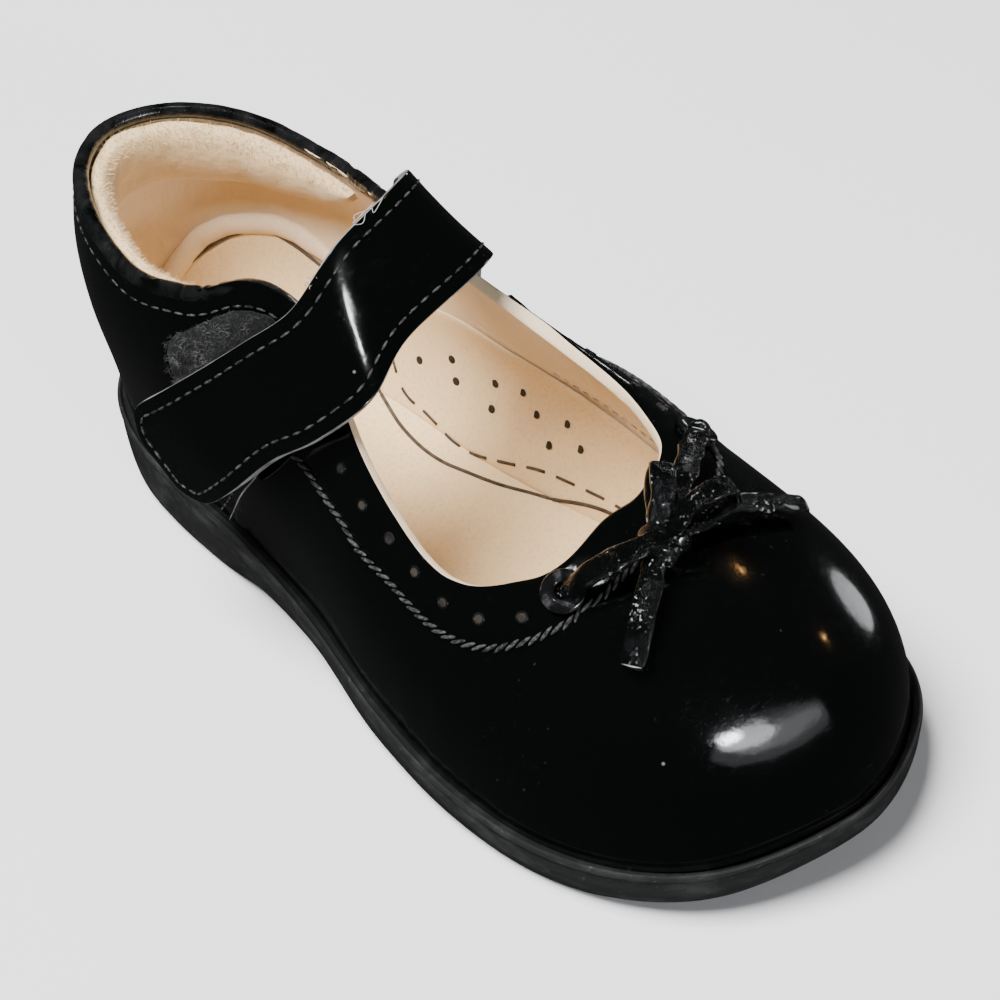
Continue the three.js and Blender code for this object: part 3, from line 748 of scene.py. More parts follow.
def at_depth(depth):
    """Measures a rib down its face from the topline, in millimetres."""
    def measure(rib):
        steps = np.linalg.norm(np.diff(rib, axis=0), axis=1)
        travelled = np.concatenate([[0], np.cumsum(steps)])
        return [np.interp(depth * MM, travelled, rib[:, k]) for k in range(3)]
    return measure


def at_height(height):
    """Measures a rib by its height over the floor, in millimetres."""
    def measure(rib):
        rising = rib[::-1]
        heights = rising[:, 2]
        return [np.interp(height * MM, heights, rising[:, k]) for k in range(3)]
    return measure


def on_wall(rib, depth, lift=0.0):
    """A place on the outside of the upper with its normal, raised by a lift in millimetres."""
    return nearest(wall["tree"], rib_place(rib, at_depth(depth)), lift * MM)


def inside_wall(rib, height, lift=0.0):
    """A place on the inner face of the upper, at a height over the floor."""
    point = rib_place(rib, at_height(height))
    spot, normal = nearest(wall["tree"], point)
    return nearest(wall["tree"], spot - normal * 2.0 * MM, lift * MM)


def wall_line(places, pitch, lift=0.0):
    """Points and normals at an even pitch along a smooth line through (rib, depth) places."""
    route = smooth_line([(rib, depth, 0) for rib, depth in places], 0.25)
    raw = [on_wall(p.x, p.y, lift)[0] for p in route]
    spots = smooth_line(raw, pitch)
    return [nearest(wall["tree"], p, lift * MM) for p in spots]


def sew(bm, line, thickness):
    """A row of stitches along points with normals, each sunk a little into the leather."""
    length = (line[1][0] - line[0][0]).length * 0.74
    places = []
    for (here, up), (ahead, _) in zip(line, line[1:]):
        middle = (here + ahead) / 2 - up * thickness * 0.12
        places.append(frame_at(middle, middle + (ahead - here), up))
    scatter(bm, bead_shape(length, thickness), places)


def twist(bm, line, thickness):
    """A thick two-ply cord along points with normals: slanted strands, one lying over the next."""
    length = (line[1][0] - line[0][0]).length * 1.55
    slant = Matrix.Rotation(math.radians(24), 4, "Z")
    places = []
    for (here, up), (ahead, _) in zip(line, line[1:]):
        middle = (here + ahead) / 2 + up * thickness * 0.12
        places.append(frame_at(middle, middle + (ahead - here), up) @ slant)
    scatter(bm, bead_shape(length, thickness, 8, 6), places)


# ---- pieces ---------------------------------------------------------------------------------


def make_upper():
    """The leather shell: patent outside, lining inside, and a folded edge along the topline."""
    read_wall()
    bm = upper_copy()
    outer = outer_face(bm)

    def side_wall(face):
        """Small for a large upright face near the waist."""
        small = 0 if face.calc_area() > 6e-6 else 9
        return abs(face.normal.z) + abs(face.calc_center_median().y - 0.02) * 9 + small

    inner = spread_from(min((f for f in bm.faces if f not in outer), key=side_wall), TURN)
    for face in bm.faces:
        middle = face.calc_center_median()
        throat = middle.y < 0.018 and middle.z > 0.02
        face.material_index = 0 if face in outer else 1 if face in inner or throat else 2
    crease = bm.edges.layers.float.new("crease_edge")
    for edge in bm.edges:
        if edge.calc_face_angle(0) > FOLD:
            edge[crease] = 0.8 if all(v.co.z < 0.016 for v in edge.verts) else 0.35
    fine = smoothed(bm, 2)
    for vertex in fine.verts:
        spot = vertex.co
        toe = min(max((-spot.y - 0.02) / 0.03, 0), 1)
        ripple = noise.noise(spot * 55) * 0.16 + noise.noise(spot * 130) * 0.05
        bend = math.exp(-(((spot.y + 0.024) / 0.012) ** 2))
        flex = bend * noise.noise(Vector((spot.x * 60, spot.y * 420, spot.z * 60))) * 0.16
        vertex.co += vertex.normal * MM * (ripple * (1 - 0.55 * toe) + flex)
    return add_piece("upper_leather", fine, ["patent", "lining", "turned"], ["upper"])


def make_bead():
    """The rolled black edge round the collar, gathered into small folds."""
    radius = sizes().bead
    line = wall_line([(rib, 0.9) for rib in np.linspace(-16.5, 15.5, 39)], 1.1 * MM, -1.05)

    def outline(share):
        taper = min(1, 10 * share + 0.35, 10 * (1 - share) + 0.35)
        slow = noise.noise(Vector((share * 150, 0, 0)))
        quick = noise.noise(Vector((share * 420, 3, 0)))
        gathered = radius * taper * (1 + 0.07 * slow + 0.05 * quick)
        return oval(gathered, gathered * 0.98, 12)

    bm = sweep([spot for spot, _ in line], [normal for _, normal in line], outline)
    return add_piece("collar_bead", bm, ["turned"], levels=1)


def make_seams():
    """Edges of the quarters over the vamp, with all the sewn rows and the cord round the throat."""
    pitch = sizes().stitch_length
    overlap = [(20.6, 1.2), (19.4, 10), (17.9, 21), (15.7, 33), (13.9, 42), (12.4, 49.5)]
    painted = [(0.35, -0.5), (0.42, 0.34), (0.1, 0.62), (-0.1, -0.5)]
    shiny = [(0.14, 0.5), (0.0, 0.66), (-2.4, 0.42), (-5.6, -0.12), (-5.6, -0.5), (0.1, -0.5)]
    step = bmesh.new()
    for side in (-1, 1):
        places = [(rib if side < 0 else RIBS - rib, depth) for rib, depth in overlap]
        line = wall_line(places, 1.0 * MM)
        for finish_index, strip in ((1, painted), (0, shiny)):
            outline = [(side * a * MM, b * MM) for a, b in strip]
            if side < 0:
                outline.reverse()
            sweep([spot for spot, _ in line], [normal for _, normal in line], outline, step, finish_index)
    bmesh.ops.recalc_face_normals(step, faces=step.faces)
    add_piece("quarter_edges", step, ["patent", "cut_edge"])

    rows = bmesh.new()
    row = [(20.6, 1.5), (19.4, 10), (17.9, 21), (15.7, 33), (13.9, 42), (12.6, 48)]
    for side in (1, -1):
        for shift in (1.9, 3.9):
            places = [((rib - 0.42 * shift) * side, depth) for rib, depth in row]
            sew(rows, wall_line(places, pitch, 0.32), sizes().thread)
    collar = [(rib, 4.4) for rib in np.linspace(-17, 17, 35)]
    sew(rows, wall_line(collar, pitch, 0.04), sizes().thread)
    add_piece("sewn_rows", rows, ["thread"])

    cord = bmesh.new()
    throat = [
        (17.9, 24.5), (19.2, 24), (20.4, 21), (21.7, 16.5), (24, 11.4), (25.7, 9.6), (27.7, 8.6),
        (30.2, 9.2), (32, 9), (34, 9.2), (36.5, 9.4), (39.5, 9.8),
    ]
    for route in (throat, [(RIBS - rib, depth) for rib, depth in throat]):
        twist(cord, wall_line(route, pitch * 0.72, 0.2), sizes().cord_thread)
    return add_piece("throat_cord", cord, ["thread"])


def make_punches():
    """The punched holes between the throat's edge and its cord: raised rims round dark discs of painted
    shade.
    """
    places = [(21.1, 10.3), (22.5, 6.9), (24.2, 4.4), (25.7, 3.8), (27.3, 3.9), (29.2, 4.7), (31.5, 5.4)]
    places += [(RIBS - rib, depth) for rib, depth in places]
    radius = sizes().punch
    upright = Matrix.Translation((radius, 0, 0)) @ Matrix.Rotation(math.pi / 2, 4, "X")
    ring = bmesh.new()
    bmesh.ops.create_circle(ring, segments=8, radius=0.2 * MM, matrix=upright)
    bmesh.ops.spin(
        ring, geom=ring.verts[:] + ring.edges[:], cent=(0, 0, 0), axis=(0, 0, 1),
        angle=2 * math.pi, steps=16, use_merge=True,
    )
    bmesh.ops.recalc_face_normals(ring, faces=ring.faces)
    for face in ring.faces:
        face.smooth = True
    spots = []
    for rib, depth in places:
        here, up = on_wall(rib, depth, 0.03)
        spots.append(frame_at(here, on_wall(rib + 0.2, depth, 0.03)[0], up))
    rims, floors = bmesh.new(), bmesh.new()
    scatter(rims, ring, spots)
    # Dark discs on the leather: painted shade in place of real holes.
    scatter(floors, cone(radius, radius * 0.8, 0.16 * MM), spots)
    add_piece("punched_rims", rims, ["turned"])
    return add_piece("punched_holes", floors, ["punched"])


def edge_line(loop, faces, inset, pitch, tree, lift):
    """A smooth closed line inside the border of a patch, at an even distance from it."""
    spots = []
    count = len(loop)
    for n, vertex in enumerate(loop):
        normal = sum((f.normal for f in vertex.link_faces if f in faces), Vector()).normalized()
        along = (loop[(n + 1) % count].co - loop[n - 1].co).normalized()
        spots.append(vertex.co + normal.cross(along) * inset)
    line = smooth_line(spots, pitch, closed=True)
    return [nearest(tree, p, lift) for p in line]


def make_strap():
    """The strap: patent over a stiff core, painted edges, and a sewn row all the way round."""
    bm = node_copy("strap")
    before = {v: v.co.copy() for v in bm.verts}
    facing = {v: max(v.link_faces, key=lambda f: f.calc_area()).normal.copy() for v in bm.verts}
    for _ in range(6):
        bmesh.ops.smooth_vert(
            bm, verts=bm.verts, factor=0.5, use_axis_x=True, use_axis_y=True, use_axis_z=True,
        )
    for vertex, start in before.items():
        near_ridge = math.exp(-(((start.x / MM + 9) / 13) ** 4))
        sink = (vertex.co - start).dot(facing[vertex])
        vertex.co = start + facing[vertex] * sink * near_ridge
    bm.normal_update()
    highest = max(bm.faces, key=lambda f: f.calc_center_median().z + f.normal.z * 0.01)
    top = spread_from(highest, FOLD)
    border = max(border_loops(top), key=len)
    middle = sum((v.co for v in border), Vector()) / len(border)
    probe = border[len(border) // 4]
    normal = next(f.normal for f in probe.link_faces if f in top)
    along = border[len(border) // 4 + 1].co - probe.co
    if normal.cross(along).dot(middle - probe.co) < 0:
        border.reverse()
    tree = BVHTree.FromBMesh(bm)
    bm.verts.index_update()
    wall["strap_top"] = BVHTree.FromPolygons(
        [v.co.copy() for v in bm.verts], [[v.index for v in f.verts] for f in bm.faces if f in top],
    )
    rows = bmesh.new()
    line = edge_line(border, top, 2.4 * MM, sizes().stitch_length, tree, 0.12 * MM)
    sew(rows, [*line, line[0]], sizes().thread)
    add_piece("strap_stitches", rows, ["thread"])

    sides = {g for v in border for g in v.link_faces if g not in top}
    for face in bm.faces:
        face.material_index = 0 if face in top else 1 if face in sides else 2
    bmesh.ops.bevel(
        bm, geom=[edge for edge in bm.edges if edge.calc_face_angle(0) > FOLD], offset=0.42 * MM,
        offset_type="OFFSET", segments=2, profile=0.5, affect="EDGES", material=-1, clamp_overlap=True,
    )
    fine = smoothed(bm, 1)
    for vertex in fine.verts:
        ripple = noise.noise(vertex.co * 60) * 0.14 + noise.noise(vertex.co * 170) * 0.04
        vertex.co += vertex.normal * MM * ripple
    return add_piece("strap_leather", fine, ["patent", "cut_edge", "turned"], ["strap"], 1)


def make_fastener():
    """The fuzzy and the hooked tape of the touch fastener."""
    bm = node_copy("loop_pad")
    top = spread_from(min(bm.faces, key=lambda f: f.normal.x), FOLD)
    draw = random.Random(11)
    spots = []
    faces = sorted(top, key=lambda f: tuple(f.calc_center_median()))
    weights = [f.calc_area() for f in faces]
    for face in draw.choices(faces, weights, k=sizes().fibres):
        corners = [v.co for v in face.verts]
        a, b = draw.random(), draw.random()
        here = corners[0].lerp(corners[1], a).lerp(corners[-1].lerp(corners[-2], a), b)
        lean = Vector([draw.gauss(0, 0.65) for _ in range(3)])
        spots.append(standing(here, (face.normal + lean).normalized(), draw.uniform(0.4, 0.9)))
    fibre = cone(0.05 * MM, 0.02 * MM, 1.0 * MM, 3, Matrix.Translation((0, 0, 0.4 * MM)))
    fibres = bmesh.new()
    scatter(fibres, fibre, spots)
    add_piece("loop_fibres", fibres, ["fibre"])
    fine = smoothed(bm, 2)
    for vertex in fine.verts:
        knit = noise.noise(vertex.co * 900) * 0.16 + noise.noise(vertex.co * 300) * 0.12
        vertex.co += vertex.normal * MM * knit
    add_piece("loop_tape", fine, ["tape"], ["loop_pad"])
    fine = smoothed(node_copy("hook_pad"), 2)
    for vertex in fine.verts:
        vertex.co += vertex.normal * MM * noise.noise(vertex.co * 1100) * 0.12
    return add_piece("hook_tape", fine, ["tape"], ["hook_pad"])


def make_padding():
    """The padded collar: the roll swells between its seams, with soft dents and a brushed nap."""
    fine = smoothed(node_copy("collar_padding"), 3)
    for vertex in fine.verts:
        spot = vertex.co
        slow = noise.noise(spot * 90) * 0.38
        gather = noise.noise(Vector((spot.x * 260, spot.y * 260, spot.z * 60))) * 0.26
        nap = noise.noise(spot * 900) * 0.06
        inward = (Vector((0, min(spot.y, 0.055), spot.z)) - spot).normalized()
        swell = 1.9 * max(vertex.normal.dot(inward), 0)
        vertex.co += (vertex.normal * (slow + gather + nap) + inward * swell) * MM
    draw = random.Random(3)

    def seen_from_above(face):
        middle = face.calc_center_median()
        return face.normal.z > 0.2 and face.normal.dot(Vector((0, 0.045, middle.z)) - middle) > -0.004

    upright = [f for f in fine.faces if seen_from_above(f)]
    spots = []
    for face in draw.choices(upright, [f.calc_area() for f in upright], k=1500):
        here = face.verts[0].co.lerp(face.verts[2].co, draw.random())
        lean = Vector([draw.gauss(0, 0.5) for _ in range(3)])
        spots.append(standing(here, (face.normal + lean).normalized(), draw.uniform(0.5, 1.2)))
    hair = cone(0.06 * MM, 0.02 * MM, 0.9 * MM, 3, Matrix.Translation((0, 0, 0.3 * MM)))
    nap_hairs = bmesh.new()
    scatter(nap_hairs, hair, spots)
    add_piece("padding_nap", nap_hairs, ["nap"])
    piece = add_piece("collar_padding_suede", fine, ["suede"], ["collar_padding"])
    return piece


# Height in millimetres of the footbed's raised edge, and of the rim round its heel, by rib.
ARCH_TOP = [
    (-37, 14), (-34, 17), (-31, 19), (-28, 22), (-26, 25), (-23.3, 29.5), (-21.7, 32), (-20.2, 36),
    (-18.8, 39), (-17, 40.5), (-16, 40.5), (-14, 38), (-12.5, 34), (-11, 32.5), (-9.5, 33), (-8.5, 34),
    (-7.4, 36), (-6.5, 37.3), (-5.6, 37.3), (-4.4, 35.3), (-3.2, 32), (-2, 28.5), (-1.2, 25.5), (0, 24.5),
    (1.2, 25.5), (2, 28.5), (3.2, 32), (4.4, 35.3), (5.6, 37.3), (6.5, 37.3), (7.4, 36), (8.5, 34),
    (10, 29), (12, 22), (14, 15),
]
HEEL_CREST = [
    (0, 28), (1.2, 29), (2, 32), (3.2, 37), (4.4, 39.5), (5.6, 40.5), (6.5, 41), (7.5, 40.5),
    (8.6, 38.5), (10, 35),
]


def profile_at(ribs, profile):
    """The heights of a (rib, height) profile at the given ribs."""
    return np.interp(ribs, [rib for rib, _ in profile], [height for _, height in profile])


def bed_height(bed, point):
    """How high the insole is under a point, or None beside it."""
    spot = bed.ray_cast(Vector((point.x, point.y, 0.06)), Vector((0, 0, -1)))[0]
    return None if spot is None else spot.z


def wall_sheet(bed, ribs, tops, foot):
    """A sheet that runs from a line on the inner wall down into the insole, standing away from the
    wall by 0.75 mm at its top and 3.4 mm more at its foot."""
    across, stand, reach = 12, 0.75, 3.4
    sheet = bmesh.new()
    bmesh.ops.create_grid(sheet, x_segments=across, y_segments=len(ribs) - 1, size=1)
    for vertex in sheet.verts:
        row = round((vertex.co.y + 1) / 2 * (len(ribs) - 1))
        share = round((vertex.co.x + 1) / 2 * across) / across
        base = inside_wall(ribs[row], 15, stand + reach)[0]
        bottom = (bed_height(bed, base) or 14.5 * MM) / MM - foot
        height = tops[row] + (bottom - tops[row]) * share ** 0.85
        vertex.co = inside_wall(ribs[row], height, stand + reach * share ** 2.2)[0]
    for _ in range(3):
        bmesh.ops.smooth_vert(
            sheet, verts=[v for v in sheet.verts if not v.is_boundary], factor=0.5,
            use_axis_x=True, use_axis_y=True, use_axis_z=True,
        )
    bmesh.ops.recalc_face_normals(sheet, faces=sheet.faces)
    sheet.faces.ensure_lookup_table()
    middle = sheet.faces[len(sheet.faces) // 2]
    if middle.normal.dot(Vector((0, 0.03, 0.04)) - middle.calc_center_median()) < 0:
        bmesh.ops.reverse_faces(sheet, faces=sheet.faces)
    for face in sheet.faces:
        face.smooth = True
    return sheet


def thickened(piece, thickness):
    """Gives a sheet its thickness and softens it."""
    shell = piece.modifiers.new("Thickness", "SOLIDIFY")
    shell.thickness = thickness * MM
    shell.offset = -1
    subdivide(piece, 1)


def make_footbed():
    """The insole, and the raised cup of the footbed up the inner side and round the heel."""
    fine = smoothed(node_copy("insole"), 2)
    for vertex in fine.verts:
        soft = noise.noise(vertex.co * 45) * 0.2
        worn = -0.5 * math.exp(-((vertex.co - Vector((0, 0.055, 0.016))).length / 0.012) ** 2)
        if vertex.normal.z > 0.5:
            vertex.co.z += (soft + worn) * MM
    bed = BVHTree.FromBMesh(fine)
    add_piece("insole_top", fine, ["footbed"], ["insole"])

    ribs = np.linspace(ARCH_TOP[0][0], ARCH_TOP[-1][0], 171)
    cup = wall_sheet(bed, ribs, profile_at(ribs, ARCH_TOP), 0.7)
    side = BVHTree.FromBMesh(cup)
    thickened(add_piece("footbed_arch", cup, ["footbed"]), 0.7)
    make_heel_rim()

    def closest(point, lift):
        """The place of the footbed nearest to a point, with its normal."""
        choices = [nearest(tree, point, lift) for tree in (bed, side)]
        return min(choices, key=lambda choice: (choice[0] - point).length)

    def topmost(point, lift):
        """The place of the footbed straight below a point, with its normal."""
        above = Vector((point.x, point.y, 0.05))
        hits = [tree.ray_cast(above, Vector((0, 0, -1))) for tree in (bed, side)]
        spot, normal, _, _ = max((hit for hit in hits if hit[0] is not None), key=lambda hit: hit[0].z)
        return spot + normal * lift, normal

    printed = bmesh.new()
    solid = [(15.5, 36.5), (14, 32.5), (12.5, 28), (11.5, 22.5), (11.5, 17.5), (12.5, 13), (14.5, 6.5),
             (18, -1), (21, -9), (23, -17)]
    dashed = [(19, 36.5), (16.5, 31), (16, 25), (15.5, 18), (16, 13), (17.5, 7), (19.5, 0.5), (22, -9.5),
              (23.5, -17)]

    def route(places, pitch):
        return smooth_line([Vector((*place, 0)) * MM for place in places], pitch * MM)

    def band(points, width):
        """A flat printed line of a given width."""
        spots = [topmost(p, 0.04 * MM) for p in points]
        outline = [(a * width * MM, b * MM) for a, b in ((-0.5, 0), (0.5, 0), (0.5, 0.1), (-0.5, 0.1))]
        sweep([spot for spot, _ in spots], [normal for _, normal in spots], outline, printed)

    band(route(solid, 0.9), 0.62)
    dashes = route(dashed, 0.7)
    for start in range(0, len(dashes) - 6, 8):
        band(dashes[start:start + 6], 0.5)
    bmesh.ops.recalc_face_normals(printed, faces=printed.faces)
    add_piece("footbed_lines", printed, ["dark_print_and_shade"])

    dots = [(19, 29, 26.5), (19.5, 22, 30), (19, 20.5, 26.5), (19.5, 12.5, 29.5), (20, 7, 30),
            (18.5, 12.5, 25), (20, 4, 27), (21.5, -1.5, 27), (20, 1, 22.5), (21.5, -4.5, 23.5)]
    spots = []
    for place in dots:
        here, up = closest(Vector(place) * MM, 0.03 * MM)
        spots.append(frame_at(here, here + Vector((0, 1, 0)), up))
    # Dark discs on the footbed: painted shade in place of real holes.
    punched = bmesh.new()
    scatter(punched, cone(0.82 * MM, 0.66 * MM, 0.12 * MM), spots)
    return add_piece("footbed_holes", punched, ["punched"])


def make_heel_rim():
    """The rolled rim round the heel of the footbed, with a thin dark cord under it that paints the shadow
    in the gap.
    """
    ribs = np.linspace(-10, 10, 121)

    def lay(name, heights, lift, outline, finish):
        spots = [inside_wall(rib, height, lift)[0] for rib, height in zip(ribs, heights)]
        line = smooth_line(spots, 1.1 * MM)
        ups = [nearest(wall["tree"], spot)[1] for spot in line]
        return add_piece(name, sweep(line, ups, outline), [finish], levels=1)

    def roll(share):
        fade = min(1, 8 * share + 0.15, 8 * (1 - share) + 0.15)
        return [(a * fade, b * fade) for a, b in oval(2.1 * MM, 1.3 * MM, 12)]

    lay("heel_rim", profile_at(abs(ribs), HEEL_CREST) - 2.2, 0.3, roll, "lining")
    # A thin dark cord along the cup's top edge: painted shadow in the gap between the cup and the wall.
    thin = oval(0.32 * MM, 0.32 * MM, 6)
    return lay("heel_gap_shadow", profile_at(ribs, ARCH_TOP) - 0.1, 0.75, thin, "dark_print_and_shade")


def make_lining_seams():
    """The pale sewn row along the lining's upper band."""
    rows = bmesh.new()
    ribs = np.linspace(-33, -20, 33)
    heights = profile_at(ribs, ARCH_TOP) + 1.6
    spots = smooth_line([inside_wall(rib, z, 0.12)[0] for rib, z in zip(ribs, heights)], 1.9 * MM)
    sew(rows, [nearest(wall["tree"], spot, 0.12 * MM) for spot in spots], 0.34 * MM)
    return add_piece("lining_rows", rows, ["pale_thread"])


def make_eyelets():
    """The two enamelled eyelets of the bow, with the shade inside them."""
    for side in ("lateral", "medial"):
        node = f"eyelet_{side}"
        low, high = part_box(node)
        here, up = nearest(wall["tree"], (low + high) / 2, -0.6 * MM)
        add_piece(f"eyelet_ring_{side}", node_copy(node), ["enamel"], [node], 2)
        place = frame_at(here, here + Vector((0, 0.01, 0)), up)
        plug = cone(1.9 * MM, 1.2 * MM, 0.8 * MM, 20, place)
        add_piece(f"eyelet_shade_{side}", plug, ["punched"])


# The thongs' routes in millimetres, each from its eyelet through the knot to its cut end.
BOW_LATERAL = [
    (-15.4, -38.6, 41.4), (-16.6, -40.3, 44.8), (-15.6, -42.1, 47.6), (-12, -44, 49.6),
    (-7.5, -45.8, 50.4), (-3, -46.9, 50.1), (0.8, -48.3, 50.6), (4.2, -50.2, 51.7), (6.9, -51.6, 54),
    (6.2, -51.7, 56.8), (3.2, -50.3, 56.9), (0, -48.6, 54), (-2.6, -47.6, 50.4), (-5.4, -47.9, 48.8),
    (-9.5, -50, 46.9), (-14.2, -52.4, 43.9), (-18.6, -54.5, 40.4),
]
BOW_MEDIAL = [
    (20.3, -31.3, 41.4), (21.4, -32.5, 45.2), (19.2, -34.4, 48), (13.5, -37.9, 50.3), (6.5, -42.2, 51.2),
    (0.8, -45.3, 50.9), (-2.6, -46.6, 50), (-1.4, -45, 51.4), (0.8, -42.6, 52), (3, -40.6, 53),
    (4.2, -40.2, 55), (3, -41.8, 56.4), (0.4, -44, 55), (-2.2, -46.2, 51), (-0.4, -47.5, 49.6),
    (4, -47.6, 49.2), (9.3, -48.4, 48.4), (14.5, -50.1, 46.2), (19.4, -51.6, 43.4), (22.8, -52.3, 41.2),
]


def flat_ups(points):
    """The way that a flat thong faces at each point: it lies on the leather where it runs along it,
    and turns smoothly where it stands up."""
    across = None
    ups = []
    for n, here in enumerate(points):
        ahead = (points[min(n + 1, len(points) - 1)] - points[max(n - 1, 0)]).normalized()
        side = nearest(wall["tree"], here)[1].cross(ahead)
        if across is None:
            across = side.normalized()
        steady = (across - ahead * across.dot(ahead)).normalized()
        if side.length > 0.45:
            side.normalize()
            if side.dot(steady) < 0:
                side.negate()
            steady = steady.lerp(side, 0.3).normalized()
        across = steady
        ups.append(ahead.cross(across))
    return ups


def near(share, middle, spread):
    """1 at a middle share of a path, falling away on both sides."""
    return math.exp(-(((share - middle) / spread) ** 2))


def thong(name, route, replaced):
    """One half of the bow as a single flat thong: out of its eyelet, through the knot, round a
    loop, back through the knot and out as a tail with a cut end."""
    points = smooth_line([Vector(p) * MM for p in route], 0.9 * MM)
    width = sizes().thong_width / 2

    def outline(share):
        """A flattened oval: bunched in the eyelet, pinched twice by the knot, thin at the tail."""
        bunch = min(1, 0.42 + 7 * share)
        waist = 1 - 0.35 * near(share, 0.33, 0.05) - 0.35 * near(share, 0.72, 0.05)
        w = width * bunch * waist * (1 + 0.1 * noise.noise(Vector((share * 24, 5, 0))))
        gathered = 1 + 1.1 * near(share, 0, 0.07)
        t = 0.78 * MM * gathered * (1 + 0.35 * noise.noise(Vector((share * 40, 9, 0))))
        t *= 1 - 0.35 * max(share - 0.8, 0) / 0.2
        turns = (2 * math.pi * n / 14 for n in range(14))
        return [(w * math.cos(a), t * math.copysign(abs(math.sin(a)) ** 0.8, math.sin(a))) for a in turns]

    bm = sweep(points, flat_ups(points), outline)
    for vertex in bm.verts:
        crumple = noise.noise(vertex.co * 380) * 0.55 + noise.noise(vertex.co * 1000) * 0.3
        vertex.co += vertex.normal * crumple * MM
    tip, way = points[-1], (points[-1] - points[-2]).normalized()
    for face in bm.faces:
        if all((v.co - tip).length < 3 * MM and (tip - v.co).dot(way) < 0.6 * MM for v in face.verts):
            face.material_index = 1
    piece = add_piece(name, bm, ["crumpled", "frayed"], replaced, 1)
    return piece


def make_bow():
    """The bow of two thongs, held by a wrapped knot."""
    fine = smoothed(node_copy("bow_knot"), 3)
    low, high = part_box("bow_knot")
    centre = (low + high) / 2
    for vertex in fine.verts:
        away = vertex.co - centre
        wander = 1.4 * noise.noise(vertex.co * 300)
        fold = math.sin((away.x * 0.8 + away.y * 0.5) / MM * 2.3 + wander) * 0.24
        squash = 1 - 0.14 * math.exp(-((away.x / (1.2 * MM)) ** 2))
        vertex.co = centre + away * 1.4 * squash
        vertex.co += vertex.normal * MM * (fold + noise.noise(vertex.co * 420) * 0.22)
    knot = add_piece("bow_knot_wrap", fine, ["crumpled"], ["bow_knot"])
    outer = ["bow_run_lateral", "bow_loop_front", "bow_tail_lateral"]
    inner = ["bow_run_medial", "bow_loop_rear", "bow_tail_medial"]
    thong("bow_thong_lateral", BOW_LATERAL, outer)
    thong("bow_thong_medial", BOW_MEDIAL, inner)


def make_sole():
    """The moulded sole with softened corners, and a pale line along its lip that paints its highlight."""
    bm = node_copy("outsole")
    crease = bm.edges.layers.float.new("crease_edge")
    for edge in bm.edges:
        angle = edge.calc_face_angle(0)
        low = all(v.co.z < 0.0018 for v in edge.verts)
        if low and angle > math.radians(30):
            edge[crease] = 1.0
        elif angle > math.radians(40):
            edge[crease] = 0.45
    highest = max(bm.faces, key=lambda f: f.normal.z + f.calc_center_median().z * 9)
    crown = spread_from(highest, math.radians(28))
    lip = max(border_loops(crown), key=lambda loop: sum((v.co - loop[0].co).length for v in loop))
    # A thin pale cord along the lip: painted highlight.
    line = smooth_line([v.co for v in lip], 1.5 * MM, closed=True)
    worn = sweep(line, [Vector((0, 0, 1))] * len(line), oval(0.26 * MM, 0.2 * MM, 6))
    add_piece("sole_lip_highlight", worn, ["painted_lip_highlight"], levels=1)
    fine = smoothed(bm, 2)
    return add_piece("sole_moulding", fine, ["rubber"], ["outsole"])


def make_lint():
    """Frayed threads on the strap's top, near its rear edge."""
    draw = random.Random(5)
    bm = bmesh.new()
    tree = wall["strap_top"]
    strands = [
        ((-13.4, 15.2, 72.3), (-12.6, 17.4, 69.8)), ((-12.4, 15.4, 73), (-12.9, 18, 71)),
        ((-2, 19.6, 75), (0.6, 21.4, 75.6)), ((1.2, 19, 76), (3.4, 20.8, 76.4)),
    ]
    for start, end in strands:
        a, b = (nearest(tree, Vector(p) * MM, 0.15 * MM)[0] for p in (start, end))
        for _ in range(3):
            bend = Vector([draw.uniform(-0.9, 0.9) for _ in range(3)]) * MM
            shift = Vector([draw.uniform(-0.5, 0.5) for _ in range(3)]) * MM
            points = smooth_line([a + shift, (a + b) / 2 + bend, b + shift], 0.35 * MM)
            ups = [Vector((0, 0, 1))] * len(points)
            sweep(points, ups, oval(0.05 * MM, 0.05 * MM, 5), bm)
    bmesh.ops.recalc_face_normals(bm, faces=bm.faces)
    return add_piece("loose_threads", bm, ["frayed"])


# ---- stage ----------------------------------------------------------------------------------

# The camera's place in metres, its angles in degrees and its lens in millimetres.
PLACE = Vector((-0.2175, -0.2498, 0.3449))
CAMERA = {"azimuth": -42.1, "elevation": 44.0, "roll": -5.3, "lens": 103}


def make_camera():
    """The camera, above the toe on the shoe's outer side."""
    azimuth, elevation = math.radians(CAMERA["azimuth"]), math.radians(CAMERA["elevation"])
    flat = Vector((math.sin(azimuth), -math.cos(azimuth), 0)) * math.cos(elevation)
    back = flat + Vector((0, 0, math.sin(elevation)))
    data = bpy.data.cameras.new("camera")
    data.lens = CAMERA["lens"]
    data.sensor_width = 36
    data.clip_start = 0.01
    camera = show("camera", data)
    roll = Matrix.Rotation(math.radians(CAMERA["roll"]), 3, "Z")
    turn = back.to_track_quat("Z", "Y").to_matrix() @ roll
    camera.matrix_world = Matrix.Translation(PLACE) @ turn.to_4x4()
    bpy.context.scene.camera = camera


def area_light(name, way, distance, size, power, colour=(1, 1, 1), target=(0, -0.03, 0.03)):
    """A soft panel seen from the shoe in a given direction, facing the shoe."""
    data = bpy.data.lights.new(name, "AREA")
    data.shape = "ELLIPSE"
    data.size, data.size_y = size
    data.energy = power
    data.color = colour
    light = show(name, data)
    way = Vector(way).normalized()
    light.matrix_world = standing(Vector(target) + way * distance, way, 1)
    return light


def make_floor():
    """A pale floor that the shiny leather does not mirror."""
    bm = bmesh.new()
    bmesh.ops.create_grid(bm, x_segments=2, y_segments=2, size=2.5)
    floor = mesh_object("floor", bm, ["paper"])
    bm.free()
    floor.visible_glossy = False


